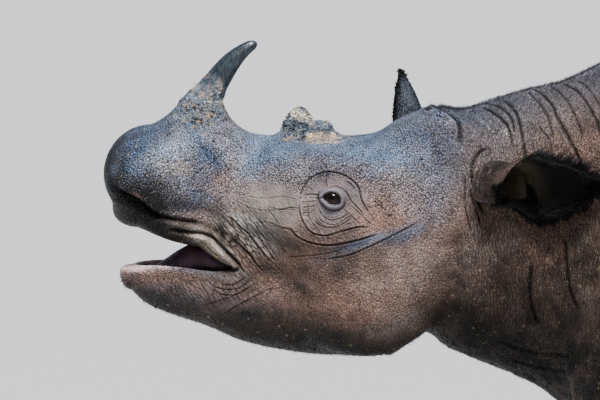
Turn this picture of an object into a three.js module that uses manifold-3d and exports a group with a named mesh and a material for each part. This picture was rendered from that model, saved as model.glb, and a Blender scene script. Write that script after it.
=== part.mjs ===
// A Sumatran rhinoceros (Dicerorhinus sumatrensis), life size, standing with its head held level and its
// mouth open. Millimetres, +Z up. The animal faces -X, its left side is -Y, and the floor is Z = 0.
//
// The flesh is one smooth field: tubes of rounded sections and ellipsoids, melted together. The field is
// negative inside. Each named part of the body is that field made into a mesh and cut off by thin planes.
// Horns, ears, eyes, tongue, tail and toenails are lofts and spheres fitted against the flesh.
import * as THREE from "three";
import { SimplifyModifier } from "three/addons/modifiers/SimplifyModifier.js";
import { mergeVertices } from "three/addons/utils/BufferGeometryUtils.js";
import Module from "manifold-3d";

const wasm = await Module();
wasm.setup();

// ---------------------------------------------------------------- driving dimensions
const GAP = 0.5; // clear width between two neighbouring parts
const LEG_TOP = 484; // height at which a leg leaves the trunk, just under the belly
const ANKLE = 150; // height at which a foot begins
const EYE = { x: -831, z: 1059, radius: 17, sunk: 9.5 }; // sunk: the eyeball's centre under the skin
const EARS = {
  left: {
    root: [-587, -150, 1088],
    bend: [-503, -226, 1084],
    tip: [-404, -268, 1088],
    opening: [0.12, -0.96, -0.12],
  },
  right: {
    root: [-672, 116, 1098],
    bend: [-699, 168, 1178],
    tip: [-715, 196, 1266],
    opening: [-0.6, 0.76, -0.1],
  },
};
const EAR_SHELL = 9; // thickness of the ear's leather

// ---------------------------------------------------------------- sections of the body
// Sections of a part that runs along X: at, the section's place; top, mid and bottom, the heights of its
// upper edge, widest line and lower edge; half, its half width; up and low, how square it is (2 is round).
const SNOUT = [
  { at: -1137, top: 1177, mid: 1090, bottom: 1012, half: 84, up: 2.1, low: 2.3 },
  { at: -1085, top: 1192, mid: 1088, bottom: 1003, half: 90, up: 2.1, low: 2.3 },
  { at: -1030, top: 1179, mid: 1082, bottom: 984, half: 88, up: 2.1, low: 2.2 },
  { at: -960, top: 1160, mid: 1060, bottom: 938, half: 96, up: 2.2, low: 2.1 },
  { at: -890, top: 1156, mid: 1040, bottom: 900, half: 113, up: 2.3, low: 2.1 },
  { at: -829, top: 1156, mid: 1040, bottom: 880, half: 124, up: 2.4, low: 2.1 },
  { at: -760, top: 1161, mid: 1040, bottom: 860, half: 137, up: 2.4, low: 2.1 },
  { at: -695, top: 1180, mid: 1040, bottom: 850, half: 142, up: 2.2, low: 2.1 },
  { at: -630, top: 1194, mid: 1030, bottom: 850, half: 142, up: 2.0, low: 2.1 },
];
const UPPER_LIP = [
  { at: -1160, top: 1058, mid: 1030, bottom: 998, half: 60, up: 2.2, low: 2.4 },
  { at: -1110, top: 1058, mid: 1016, bottom: 975, half: 74, up: 2.2, low: 2.6 },
  { at: -1050, top: 1046, mid: 1002, bottom: 957, half: 81, up: 2.2, low: 3.0 },
  { at: -1008, top: 1026, mid: 972, bottom: 930, half: 87, up: 2.2, low: 3.2 },
  { at: -965, top: 1010, mid: 946, bottom: 896, half: 92, up: 2.2, low: 2.8 },
  { at: -915, top: 1010, mid: 935, bottom: 870, half: 101, up: 2.2, low: 2.2 },
  { at: -860, top: 1010, mid: 925, bottom: 850, half: 112, up: 2.2, low: 2.2 },
];
const JAW = [
  { at: -1172, top: 938, mid: 925, bottom: 891, half: 41, up: 2.6, low: 2.0 },
  { at: -1148, top: 944, mid: 924, bottom: 869, half: 54, up: 3.2, low: 2.0 },
  { at: -1100, top: 946, mid: 914, bottom: 848, half: 65, up: 3.2, low: 2.0 },
  { at: -1040, top: 944, mid: 906, bottom: 828, half: 76, up: 3.2, low: 2.0 },
  { at: -985, top: 940, mid: 898, bottom: 804, half: 86, up: 3.0, low: 2.0 },
  { at: -885, top: 944, mid: 884, bottom: 784, half: 106, up: 2.0, low: 2.0 },
  { at: -808, top: 980, mid: 890, bottom: 780, half: 120, up: 2.0, low: 2.0 },
  { at: -745, top: 980, mid: 900, bottom: 786, half: 124, up: 2.0, low: 2.0 },
];
const MOUTH = [
  { at: -1138, top: 1004, mid: 955, bottom: 917, half: 37, up: 2.3, low: 2.3 },
  { at: -1080, top: 1000, mid: 945, bottom: 907, half: 50, up: 2.3, low: 2.3 },
  { at: -1020, top: 983, mid: 936, bottom: 902, half: 59, up: 2.3, low: 2.3 },
  { at: -972, top: 958, mid: 930, bottom: 902, half: 50, up: 2.2, low: 2.2 },
  { at: -944, top: 946, mid: 925, bottom: 905, half: 38, up: 2.0, low: 2.0 },
];
const NECK = [
  { at: -700, top: 1170, mid: 1010, bottom: 835, half: 124, up: 2.0, low: 2.0 },
  { at: -630, top: 1196, mid: 1008, bottom: 792, half: 148, up: 2.0, low: 2.0 },
  { at: -560, top: 1218, mid: 1000, bottom: 762, half: 173, up: 1.95, low: 2.0 },
  { at: -500, top: 1234, mid: 988, bottom: 736, half: 198, up: 1.95, low: 2.0 },
  { at: -440, top: 1247, mid: 975, bottom: 711, half: 222, up: 1.9, low: 2.0 },
  { at: -375, top: 1261, mid: 960, bottom: 675, half: 248, up: 1.9, low: 2.0 },
  { at: -300, top: 1275, mid: 940, bottom: 620, half: 275, up: 1.9, low: 2.0 },
];
const TRUNK = [
  { at: -320, top: 1270, mid: 930, bottom: 612, half: 268, up: 1.9, low: 2.1 },
  { at: -235, top: 1290, mid: 905, bottom: 545, half: 300, up: 1.85, low: 2.1 },
  { at: -110, top: 1284, mid: 880, bottom: 506, half: 328, up: 1.9, low: 2.2 },
  { at: 80, top: 1266, mid: 860, bottom: 484, half: 358, up: 2.0, low: 2.2 },
  { at: 320, top: 1259, mid: 850, bottom: 464, half: 376, up: 2.1, low: 2.2 },
  { at: 560, top: 1270, mid: 850, bottom: 478, half: 368, up: 2.1, low: 2.2 },
  { at: 760, top: 1281, mid: 875, bottom: 545, half: 340, up: 2.0, low: 2.1 },
  { at: 930, top: 1262, mid: 900, bottom: 612, half: 298, up: 2.0, low: 2.0 },
  { at: 1045, top: 1210, mid: 915, bottom: 665, half: 246, up: 2.0, low: 2.0 },
];

// Sections of a part that stands: at, the section's height; x and y, its middle; long and wide, its half
// sizes along X and Y. y is for the left side's distance from the middle plane, and both sides use it.
const FORE_LEG = [
  { at: 20, x: -12, y: 190, long: 104, wide: 97 },
  { at: 70, x: -10, y: 190, long: 100, wide: 95 },
  { at: 130, x: -2, y: 192, long: 87, wide: 84 },
  { at: 210, x: 2, y: 194, long: 78, wide: 73 },
  { at: 310, x: -4, y: 197, long: 86, wide: 79 },
  { at: 410, x: 4, y: 202, long: 92, wide: 78 },
  { at: 520, x: 18, y: 207, long: 128, wide: 95 },
  { at: 640, x: 20, y: 210, long: 160, wide: 104 },
  { at: 760, x: 6, y: 210, long: 165, wide: 100 },
];
const HIND_LEG = [
  { at: 20, x: -24, y: 182, long: 98, wide: 90 },
  { at: 70, x: -22, y: 182, long: 95, wide: 88 },
  { at: 130, x: -6, y: 182, long: 81, wide: 78 },
  { at: 230, x: 14, y: 183, long: 70, wide: 65 },
  { at: 330, x: 28, y: 185, long: 79, wide: 67 },
  { at: 400, x: 30, y: 188, long: 96, wide: 72 },
  { at: 500, x: -10, y: 195, long: 122, wide: 88 },
  { at: 620, x: -40, y: 203, long: 176, wide: 108 },
  { at: 760, x: -10, y: 203, long: 205, wide: 118 },
];
const STANCE = {
  left_fore: { x: -262, side: -1, sections: FORE_LEG },
  right_fore: { x: -196, side: 1, sections: FORE_LEG },
  left_hind: { x: 838, side: -1, sections: HIND_LEG },
  right_hind: { x: 908, side: 1, sections: HIND_LEG },
};
const FRONT_BOSS = [
  { at: 1150, x: -1060, y: 0, long: 84, wide: 64 },
  { at: 1178, x: -1057, y: 0, long: 60, wide: 47 },
  { at: 1206, x: -1053, y: 0, long: 42, wide: 35 },
];
const REAR_BOSS = [
  { at: 1135, x: -872, y: 0, long: 76, wide: 58 },
  { at: 1158, x: -872, y: 0, long: 52, wide: 40 },
];

// Rounded swellings under the skin: centre, half sizes, pitch about Y in degrees and melt, the width over
// which each blends into what it lies on. Each is on both sides.
const SWELLINGS = [
  { name: "brow", centre: [-822, 86, 1102], radii: [112, 44, 38], pitch: 4, melt: 44 },
  { name: "cheekbone", centre: [-778, 98, 1000], radii: [155, 44, 52], pitch: 9, melt: 50 },
  { name: "jaw muscle", centre: [-770, 84, 912], radii: [122, 62, 122], pitch: 0, melt: 40 },
  { name: "eye mound", centre: [-829, 104, 1048], radii: [84, 34, 66], pitch: 0, melt: 36 },
  { name: "nostril wing", centre: [-1142, 44, 1080], radii: [62, 46, 60], pitch: 12, melt: 26 },
  { name: "poll", centre: [-655, 56, 1142], radii: [75, 60, 56], pitch: -10, melt: 40 },
  { name: "shoulder", centre: [-215, 212, 900], radii: [185, 112, 310], pitch: 9, melt: 70 },
  { name: "upper arm", centre: [-275, 205, 735], radii: [150, 98, 140], pitch: -20, melt: 60 },
  { name: "haunch", centre: [900, 192, 900], radii: [215, 128, 300], pitch: -12, melt: 80 },
  { name: "stifle", centre: [780, 206, 690], radii: [140, 112, 160], pitch: 18, melt: 60 },
];

// ---------------------------------------------------------------- the field
const EPS = 1e-9;
const LEG_SQUARENESS = 2.15; // 2 would be an ellipse

// The value of every number in sections at a place between two of them, on a smooth curve.
function between(sections, at) {
  const last = sections.length - 1;
  const t = THREE.MathUtils.clamp(at, sections[0].at, sections[last].at);
  let i = 0;
  while (i < last - 1 && sections[i + 1].at < t) i += 1;
  const a = sections[i];
  const b = sections[i + 1];
  const before = sections[Math.max(i - 1, 0)];
  const after = sections[Math.min(i + 2, last)];
  const step = b.at - a.at;
  const u = (t - a.at) / step;
  const found = {};
  for (const key of Object.keys(a)) {
    const slopeA = (b[key] - before[key]) / (b.at - before.at);
    const slopeB = (after[key] - a[key]) / (after.at - a.at);
    found[key] =
      a[key] * (2 * u ** 3 - 3 * u ** 2 + 1) +
      b[key] * (3 * u ** 2 - 2 * u ** 3) +
      step * slopeA * (u ** 3 - 2 * u ** 2 + u) +
      step * slopeB * (u ** 3 - u ** 2);
  }
  return found;
}

// About how far a point is outside a rounded section: p and q are its offsets from the middle as shares of
// the half sizes, and end is how far it is past the tube's end, as a share of the cap's length.
function roundedDistance(p, radiusP, q, radiusQ, power, end, cap) {
  const flat = (Math.abs(p) ** power + Math.abs(q) ** power) ** (1 / power);
  const reach = Math.hypot(flat, end);
  const steep = Math.hypot(p / radiusP, q / radiusQ, end / cap) + EPS;
  return ((reach - 1) * Math.max(reach, 0.05)) / steep;
}

function pastEnd(sections, at, cap) {
  const first = sections[0].at;
  const last = sections[sections.length - 1].at;
  return Math.max(first - at, at - last, 0) / cap;
}

function lyingTube(sections, cap) {
  return (x, y, z) => {
    const s = between(sections, x);
    const radius = z > s.mid ? s.top - s.mid : s.mid - s.bottom;
    const power = z > s.mid ? s.up : s.low;
    const end = pastEnd(sections, x, cap);
    return roundedDistance((z - s.mid) / radius, radius, y / s.half, s.half, power, end, cap);
  };
}

function standingTube(sections, cap, x0 = 0) {
  return (x, y, z) => {
    const s = between(sections, z);
    const end = pastEnd(sections, z, cap);
    const [p, q] = [(x - x0 - s.x) / s.long, (y - s.y) / s.wide];
    return roundedDistance(p, s.long, q, s.wide, LEG_SQUARENESS, end, cap);
  };
}

function ellipsoid({ centre, radii, pitch }) {
  const cos = Math.cos(THREE.MathUtils.degToRad(pitch));
  const sin = Math.sin(THREE.MathUtils.degToRad(pitch));
  return (x, y, z) => {
    const dx = x - centre[0];
    const dz = z - centre[2];
    const p = (cos * dx - sin * dz) / radii[0];
    const q = (y - centre[1]) / radii[1];
    const r = (sin * dx + cos * dz) / radii[2];
    const reach = Math.hypot(p, q, r);
    const steep = Math.hypot(p / radii[0], q / radii[1], r / radii[2]) + EPS;
    return ((reach - 1) * reach) / steep;
  };
}

// The smaller of two distances, with the corner between them rounded over a width of melt.
function melted(a, b, melt) {
  const h = Math.max(melt - Math.abs(a - b), 0) / melt;
  return Math.min(a, b) - (h * h * melt) / 4;
}

// How far each tube's rounded end goes past its last section.
const CAP = {
  snout: 84,
  upperLip: 45,
  jaw: 22,
  mouth: 24,
  neck: 60,
  trunk: 122,
  frontBoss: 16,
  rearBoss: 12,
  leg: 46,
};
// How wide the rounded corner is where each tube meets the rest.
const MELT = { upperLip: 15, jaw: 22, neck: 40, trunk: 90, frontBoss: 26, rearBoss: 16, leg: 60, mouth: 8 };

const snout = lyingTube(SNOUT, CAP.snout);
const mouth = lyingTube(MOUTH, CAP.mouth);
const tubes = [
  { field: lyingTube(UPPER_LIP, CAP.upperLip), melt: MELT.upperLip },
  { field: lyingTube(JAW, CAP.jaw), melt: MELT.jaw },
  { field: lyingTube(NECK, CAP.neck), melt: MELT.neck },
  { field: lyingTube(TRUNK, CAP.trunk), melt: MELT.trunk },
  { field: standingTube(FRONT_BOSS, CAP.frontBoss), melt: MELT.frontBoss },
  { field: standingTube(REAR_BOSS, CAP.rearBoss), melt: MELT.rearBoss },
];
const swellings = SWELLINGS.map((s) => ({ field: ellipsoid(s), melt: s.melt }));
const legs = Object.values(STANCE).map(({ x, side, sections }) => {
  const leg = standingTube(sections, CAP.leg, x);
  return { side, field: (px, py, pz) => leg(px, side * py, pz) };
});

function flesh(x, y, z) {
  const side = Math.abs(y);
  let f = snout(x, side, z);
  for (const part of [...tubes, ...swellings]) f = melted(f, part.field(x, side, z), part.melt);
  for (const leg of legs) {
    if (leg.side * y > 0) f = melted(f, leg.field(x, y, z), MELT.leg);
  }
  return -melted(-f, mouth(x, side, z), MELT.mouth);
}

// ---------------------------------------------------------------- from the field to meshes
function slope(field, p, step = 1) {
  return new THREE.Vector3(
    field(p.x + step, p.y, p.z) - field(p.x - step, p.y, p.z),
    field(p.x, p.y + step, p.z) - field(p.x, p.y - step, p.z),
    field(p.x, p.y, p.z + step) - field(p.x, p.y, p.z - step),
  ).divideScalar(2 * step);
}

// Moves a point to where the field is zero, never by more than most of a cell at once.
const LEAST_SLOPE = 0.05;
function settle(field, p, cell) {
  for (let turn = 0; turn < 4; turn += 1) {
    const way = slope(field, p);
    const steep = Math.max(way.length(), LEAST_SLOPE);
    const move = THREE.MathUtils.clamp(-field(p.x, p.y, p.z) / steep, -0.6 * cell, 0.6 * cell);
    p.addScaledVector(way, move / steep);
  }
}

// The field's values on a grid over a box. cell holds the grid's three steps: long along a part, where it
// bends least. The grid's rim counts as outside, so that the surface closes a cell outside the box.
function sampled(field, box, cell) {
  const smallest = Math.min(...cell.toArray());
  const origin = box.min.clone().addScaledVector(cell, -1.5);
  const n = box.getSize(new THREE.Vector3()).divide(cell).toArray().map((s) => Math.ceil(s) + 4);
  const index = (i, j, k) => (k * n[1] + j) * n[0] + i;
  const values = new Float64Array(n[0] * n[1] * n[2]);
  for (let k = 0; k < n[2]; k += 1)
    for (let j = 0; j < n[1]; j += 1)
      for (let i = 0; i < n[0]; i += 1) {
        const onRim = [i, j, k].some((step, axis) => step === 0 || step === n[axis] - 1);
        const f = field(origin.x + i * cell.x, origin.y + j * cell.y, origin.z + k * cell.z);
        values[index(i, j, k)] = onRim ? Math.max(f, smallest / 2) : f;
      }
  return { origin, n, index, values, smallest };
}

const CORNERS = [...Array(8).keys()].map((c) => [c & 1, (c >> 1) & 1, (c >> 2) & 1]);
const EDGES = CORNERS.flatMap((a, i) =>
  CORNERS.flatMap((b, j) => {
    const apart = Math.abs(a[0] - b[0]) + Math.abs(a[1] - b[1]) + Math.abs(a[2] - b[2]);
    return j > i && apart === 1 ? [[i, j]] : [];
  }),
);

// The mean of the places where the surface crosses a cell's edges, in steps from the cell's low corner.
function crossing(at) {
  const sum = new THREE.Vector3();
  let count = 0;
  for (const [a, b] of EDGES) {
    if (at[a] < 0 === at[b] < 0) continue;
    const share = at[a] / (at[a] - at[b]);
    sum.add(new THREE.Vector3(...CORNERS[a]).lerp(new THREE.Vector3(...CORNERS[b]), share));
    count += 1;
  }
  return count ? sum.divideScalar(count) : null;
}

// Surface nets: one vertex in each grid cell that the surface crosses, one quad across each grid edge that
// it crosses.
function polygonise(field, box, cell) {
  const grid = sampled(field, box, cell);
  const { origin, n, index, values, smallest } = grid;
  const vertexOf = new Map();
  const vertices = [];
  for (let k = 0; k < n[2] - 1; k += 1)
    for (let j = 0; j < n[1] - 1; j += 1)
      for (let i = 0; i < n[0] - 1; i += 1) {
        const p = crossing(CORNERS.map((c) => values[index(i + c[0], j + c[1], k + c[2])]));
        if (!p) continue;
        p.add(new THREE.Vector3(i, j, k)).multiply(cell).add(origin);
        if (box.distanceToPoint(p) < 0.4 * smallest) settle(field, p, smallest);
        vertexOf.set(index(i, j, k), vertices.length);
        vertices.push(p);
      }
  return meshOf(vertices, quadsOf(grid, vertexOf, vertices));
}

const STEPS = [
  [1, 0, 0],
  [0, 1, 0],
  [0, 0, 1],
];
function quadsOf({ n, index, values }, vertexOf, vertices) {
  const triangles = [];
  const addQuad = (i, j, k, axis) => {
    const here = values[index(i, j, k)] < 0;
    const next = STEPS[axis];
    if (here === values[index(i + next[0], j + next[1], k + next[2])] < 0) return;
    const u = STEPS[(axis + 1) % 3];
    const v = STEPS[(axis + 2) % 3];
    const around = [[0, 0], [1, 0], [1, 1], [0, 1]].map(([a, b]) =>
      vertexOf.get(index(i - a * u[0] - b * v[0], j - a * u[1] - b * v[1], k - a * u[2] - b * v[2])),
    );
    if (!here) around.reverse();
    const [a, b, c, d] = around;
    const short = vertices[a].distanceTo(vertices[c]) < vertices[b].distanceTo(vertices[d]);
    triangles.push(...(short ? [a, b, c, a, c, d] : [a, b, d, b, c, d]));
  };
  for (let k = 0; k < n[2] - 1; k += 1)
    for (let j = 0; j < n[1] - 1; j += 1)
      for (let i = 0; i < n[0] - 1; i += 1) STEPS.forEach((step, axis) => addQuad(i, j, k, axis));
  return triangles;
}

function meshOf(vertices, triangles) {
  const geometry = new THREE.BufferGeometry().setFromPoints(vertices);
  geometry.setIndex(new THREE.Uint32BufferAttribute(triangles, 1));
  return geometry;
}

// ---------------------------------------------------------------- solids
function solid(geometry) {
  const bare = geometry.clone();
  bare.deleteAttribute("normal");
  bare.deleteAttribute("uv");
  const merged = mergeVertices(bare, 1e-3);
  return new wasm.Manifold(
    new wasm.Mesh({
      numProp: 3,
      vertProperties: new Float32Array(merged.attributes.position.array),
      triVerts: new Uint32Array(merged.index.array),
    }),
  );
}

function geometryOf(made) {
  const { numProp, vertProperties, triVerts } = made.getMesh();
  const positions = [];
  for (let i = 0; i < vertProperties.length; i += numProp)
    positions.push(vertProperties[i], vertProperties[i + 1], vertProperties[i + 2]);
  const geometry = new THREE.BufferGeometry();
  geometry.setAttribute("position", new THREE.Float32BufferAttribute(positions, 3));
  geometry.setIndex([...triVerts]);
  geometry.computeVertexNormals();
  return geometry;
}

// The largest piece of a solid, without the crumbs that a cut can leave.
function mainBody(made) {
  return made.decompose().sort((a, b) => b.volume() - a.volume())[0];
}

// A large block on one side of a plane. The plane goes through (x, z) and leans by tilt degrees from the
// vertical. side is +1 for the block behind it, towards the tail, and -1 for the block ahead of it.
const REACH = 4000;
function block({ x, z, tilt }, side) {
  const geometry = new THREE.BoxGeometry(REACH, REACH, REACH);
  geometry.translate(side * (REACH / 2 + GAP / 2), 0, 0);
  geometry.rotateY(THREE.MathUtils.degToRad(tilt));
  geometry.translate(x, 0, z);
  return solid(geometry);
}
const behind = (plane) => block(plane, 1);
const ahead = (plane) => block(plane, -1);

// A large block moved out from the origin, so that one of its faces is at the plane asked for.
function halfSpace(x, y, z) {
  const geometry = new THREE.BoxGeometry(2 * REACH, 2 * REACH, 2 * REACH);
  geometry.translate(x, y, z);
  return solid(geometry);
}
const above = (z) => halfSpace(0, 0, z + REACH);
const below = (z) => halfSpace(0, 0, z - REACH);
const onSide = (side) => halfSpace(0, side * REACH, 0);

// The flesh inside a box, as one closed mesh with its triangles spent where the flesh bends.
const THINNED = 0.77; // share of the first mesh's vertices that are left out again
async function fleshMesh(low, high, cell) {
  const box = new THREE.Box3(new THREE.Vector3(...low), new THREE.Vector3(...high));
  const fine = polygonise(flesh, box, new THREE.Vector3(...cell));
  const spare = Math.floor(fine.attributes.position.count * THINNED);
  return new SimplifyModifier().modify(fine, spare);
}

function cutBy(geometry, cutters) {
  return mainBody(cutters.reduce((made, cutter) => made.intersect(cutter), solid(geometry)));
}

// The same mesh with every vertex moved out by the gap, for cutting the pieces that lie against it.
function swollen(geometry) {
  const out = geometry.clone();
  out.computeVertexNormals();
  const { position, normal } = out.attributes;
  const p = new THREE.Vector3();
  const n = new THREE.Vector3();
  for (let i = 0; i < position.count; i += 1) {
    n.fromBufferAttribute(normal, i);
    p.fromBufferAttribute(position, i).addScaledVector(n, GAP);
    position.setXYZ(i, p.x, p.y, p.z);
  }
  return solid(out);
}

// ---------------------------------------------------------------- lofts
// A closed skin over rings that hold equal numbers of points. ends says how each end is closed: "fan", from
// the ring's middle, or "strip", across the ring from side to side, for a crescent.
function loft(rings, ends = "fan") {
  const size = rings[0].length;
  const vertices = rings.flat().map((p) => p.clone());
  const triangles = [];
  for (let r = 0; r < rings.length - 1; r += 1)
    for (let i = 0; i < size; i += 1) {
      const a = r * size + i;
      const b = r * size + ((i + 1) % size);
      triangles.push(a, b, a + size, b, b + size, a + size);
    }
  const close = (start, flip) => {
    const add = (a, b, c) => triangles.push(...(flip ? [a, c, b] : [a, b, c]));
    if (ends === "fan") {
      const middle = new THREE.Vector3();
      for (let i = 0; i < size; i += 1) middle.addScaledVector(vertices[start + i], 1 / size);
      vertices.push(middle);
      for (let i = 0; i < size; i += 1)
        add(vertices.length - 1, start + ((i + 1) % size), start + i);
    } else {
      for (let i = 0; i < size / 2 - 1; i += 1) {
        const [a, b] = [start + i, start + i + 1];
        const [c, d] = [start + size - 1 - i, start + size - 2 - i];
        add(a, c, b);
        add(b, c, d);
      }
    }
  };
  close(0, false);
  close((rings.length - 1) * size, true);
  const made = meshOf(vertices, triangles);
  return signedVolume(made) < 0 ? turnedInsideOut(made) : made;
}

function signedVolume(geometry) {
  const p = geometry.attributes.position;
  const corner = (i) => new THREE.Vector3().fromBufferAttribute(p, geometry.index.array[i]);
  let sum = 0;
  for (let i = 0; i < geometry.index.count; i += 3)
    sum += corner(i).dot(corner(i + 1).cross(corner(i + 2)));
  return sum;
}

function turnedInsideOut(geometry) {
  const order = [];
  for (let i = 0; i < geometry.index.count; i += 3)
    order.push(...[0, 2, 1].map((j) => geometry.index.array[i + j]));
  geometry.setIndex(order);
  return geometry;
}

// Rings round a curve: sizes gives each ring's two half sizes from how far along the curve it is.
function ringsAlong(curve, count, sides, across, sizes) {
  return [...Array(count).keys()].map((i) => {
    const s = i / (count - 1);
    const along = curve.getTangentAt(s);
    const u = across.clone().addScaledVector(along, -across.dot(along)).normalize();
    const v = along.clone().cross(u);
    const [long, wide] = sizes(s);
    return [...Array(sides).keys()].map((j) => {
      const angle = (2 * Math.PI * j) / sides;
      return curve
        .getPointAt(s)
        .addScaledVector(u, long * Math.cos(angle))
        .addScaledVector(v, wide * Math.sin(angle));
    });
  });
}

const curveThrough = (...points) =>
  new THREE.CatmullRomCurve3(points.map((p) => new THREE.Vector3(...p)));

// ---------------------------------------------------------------- the pieces that aren't flesh
const HORN = {
  front: {
    line: [
      [-1055, 0, 1178],
      [-1050, 0, 1206],
      [-1032, 0, 1238],
      [-1004, 0, 1277],
      [-980, 0, 1300],
      [-958, 0, 1313],
    ],
    long: [45, 40, 29, 23, 19.5, 16.5, 12, 7],
    wide: [37, 33, 24, 19.5, 17, 15, 12, 6.5],
  },
  rear: {
    line: [[-888, 0, 1140], [-889, 0, 1162], [-886, 0, 1184], [-883, 0, 1205]],
    long: [44, 36, 30, 27, 22, 9],
    wide: [34, 29, 25, 22, 18, 8],
  },
};

// A value at a share s along a list of values evenly spaced.
function along(list, s) {
  const t = s * (list.length - 1);
  const i = Math.min(Math.floor(t), list.length - 2);
  return THREE.MathUtils.lerp(list[i], list[i + 1], t - i);
}

function horn({ line, long, wide }, count) {
  const rings = ringsAlong(curveThrough(...line), count, 12, new THREE.Vector3(1, 0, 0), (s) => [
    along(long, s),
    along(wide, s),
  ]);
  return solid(loft(rings));
}

// The rear horn is a worn stub with a lower lump behind it.
function rearHorn() {
  const lump = new THREE.SphereGeometry(1, 10, 6);
  lump.scale(35, 27, 24);
  lump.translate(-858, 0, 1162);
  return horn(HORN.rear, 6).add(solid(lump));
}

// An ear is a leather leaf rolled into a funnel at its root. Each ring is a crescent: out along the back of
// the leaf from one edge to the other, and home along its hollow side.
const EAR_LEAF = {
  half: [27, 34, 41, 47, 52, 51, 45, 37, 24, 6],
  depth: [30, 32, 34, 33, 30, 26, 21, 16, 10, 4],
  rolled: [165, 150, 124, 104, 92, 86, 82, 80, 78, 76],
};
const EAR_RINGS = 10;
const EAR_POINTS = 8;
function ear({ root, bend, tip, opening }) {
  const curve = curveThrough(root, bend, tip);
  const rings = [...Array(EAR_RINGS).keys()].map((r) => {
    const s = r / (EAR_RINGS - 1);
    const axis = curve.getTangentAt(s);
    const out = new THREE.Vector3(...opening);
    out.addScaledVector(axis, -out.dot(axis)).normalize();
    const across = axis.clone().cross(out);
    const half = along(EAR_LEAF.half, s);
    const depth = along(EAR_LEAF.depth, s);
    const roll = THREE.MathUtils.degToRad(along(EAR_LEAF.rolled, s));
    const shell = Math.min(EAR_SHELL, 0.6 * depth);
    const point = (angle, inset) =>
      curve
        .getPointAt(s)
        .addScaledVector(across, (half - inset) * Math.sin(angle))
        .addScaledVector(out, -(depth - inset) * Math.cos(angle));
    const angles = [...Array(EAR_POINTS).keys()].map((i) => roll * ((2 * i) / (EAR_POINTS - 1) - 1));
    return [...angles.map((a) => point(a, 0)), ...angles.reverse().map((a) => point(a, shell))];
  });
  return solid(loft(rings, "strip"));
}

const TAIL = {
  line: [[1120, 0, 1128], [1172, 0, 1100], [1196, 0, 1020], [1202, 0, 900], [1196, 0, 780], [1192, 0, 668]],
  long: [40, 36, 27, 23, 20, 18, 15, 12, 11],
  wide: [46, 40, 31, 27, 24, 22, 19, 17, 15],
};
function tail() {
  const rings = ringsAlong(curveThrough(...TAIL.line), 11, 10, new THREE.Vector3(1, 0, 0), (s) => [
    along(TAIL.long, s),
    along(TAIL.wide, s),
  ]);
  return solid(loft(rings));
}

// Three nails stand round the front of each foot: turn is the nail's direction from straight ahead.
const NAILS = [
  { name: "inner", turn: -56, half: 31, height: 50 },
  { name: "middle", turn: 0, half: 38, height: 60 },
  { name: "outer", turn: 56, half: 31, height: 50 },
];
const NAIL_PROUD = 8; // how far a nail stands out of the foot at the floor
const NAIL_LIFT = 6; // height of a nail's middle above the floor
const NAIL_SET = 26; // how far behind the foot's edge the middle of a nail is
function nail({ x, side, sections }, { turn, half, height }) {
  const foot = sections[0];
  const angle = THREE.MathUtils.degToRad(-turn * side);
  const [cos, sin] = [Math.cos(angle), Math.sin(angle)];
  const reach = 1 / Math.hypot(cos / foot.long, sin / foot.wide) - NAIL_SET;
  const geometry = new THREE.SphereGeometry(1, 8, 6);
  geometry.scale(NAIL_SET + NAIL_PROUD, half, height);
  geometry.rotateZ(Math.PI + angle);
  geometry.translate(x + foot.x - cos * reach, side * foot.y - sin * reach, NAIL_LIFT);
  return solid(geometry);
}

function tongue() {
  const rings = ringsAlong(
    curveThrough([-1136, 0, 924], [-1106, 0, 930], [-1060, 0, 941], [-1010, 0, 938], [-962, 0, 930]),
    8,
    10,
    new THREE.Vector3(0, 0, 1),
    (s) => [along([7, 19, 29, 36, 35, 28, 18], s), along([18, 32, 42, 48, 50, 44, 26], s)],
  );
  return solid(loft(rings));
}

// ---------------------------------------------------------------- the animal
// Each plane goes through (x, z) in the side view and leans by tilt degrees from the vertical.
const HEAD_BACK = { x: -655, z: 1000, tilt: 12 };
const NECK_BACK = { x: -385, z: 950, tilt: 14 };
const SHOULDER_BACK = { x: -22, z: 900, tilt: 0 };
const RUMP_FRONT = { x: 678, z: 900, tilt: 0 };
// The lower jaw parts from the head on a plane from the corner of the mouth back to the angle of the jaw.
const JAW_LINE = { x: -990, z: 926, tilt: 102 };
const MIDRIFF = { x: 300, z: 0, tilt: 0 };

const MATERIALS = {
  hide: { color: 0x6f5d54, roughness: 0.85 },
  ear: { color: 0x2f2a28, roughness: 0.9 },
  horn: { color: 0x4e5254, roughness: 0.6 },
  nail: { color: 0x54493f, roughness: 0.6 },
  eye: { color: 0x1a1210, roughness: 0.1 },
  tongue: { color: 0x5a3f48, roughness: 0.4 },
};

const animal = new THREE.Group();
function add(name, made, finish) {
  const material = new THREE.MeshStandardMaterial({ metalness: 0, ...MATERIALS[finish] });
  const mesh = new THREE.Mesh(geometryOf(made), material);
  mesh.name = name;
  animal.add(mesh);
}

// How far out from the middle plane the skin is at a place on the side of the head.
function skinHalfWidth(x, z) {
  let [inside, outside] = [0, 400];
  for (let turn = 0; turn < 30; turn += 1) {
    const middle = (inside + outside) / 2;
    if (flesh(x, middle, z) < 0) inside = middle;
    else outside = middle;
  }
  return inside;
}

function eyeball(side, extra = 0) {
  const ball = new THREE.SphereGeometry(EYE.radius + extra, 11, 7);
  ball.translate(EYE.x, side * (skinHalfWidth(EYE.x, EYE.z) - EYE.sunk), EYE.z);
  return solid(ball);
}

// The grid steps that each region's flesh is meshed with, before it is thinned.
const HEAD_CELL = [17, 15, 15];
const NECK_CELL = [30, 30, 30];
const TRUNK_CELL = [50, 40, 40];
const LEG_CELL = [28, 28, 36];
const FOOT_CELL = [24, 24, 24];
const skins = {
  head: await fleshMesh([-1230, -210, 770], [-560, 210, 1225], HEAD_CELL),
  neck: await fleshMesh([-760, -340, 560], [-180, 340, 1330], NECK_CELL),
  rump: await fleshMesh([677, -430, 400], [1190, 430, 1330], TRUNK_CELL),
};

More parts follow.
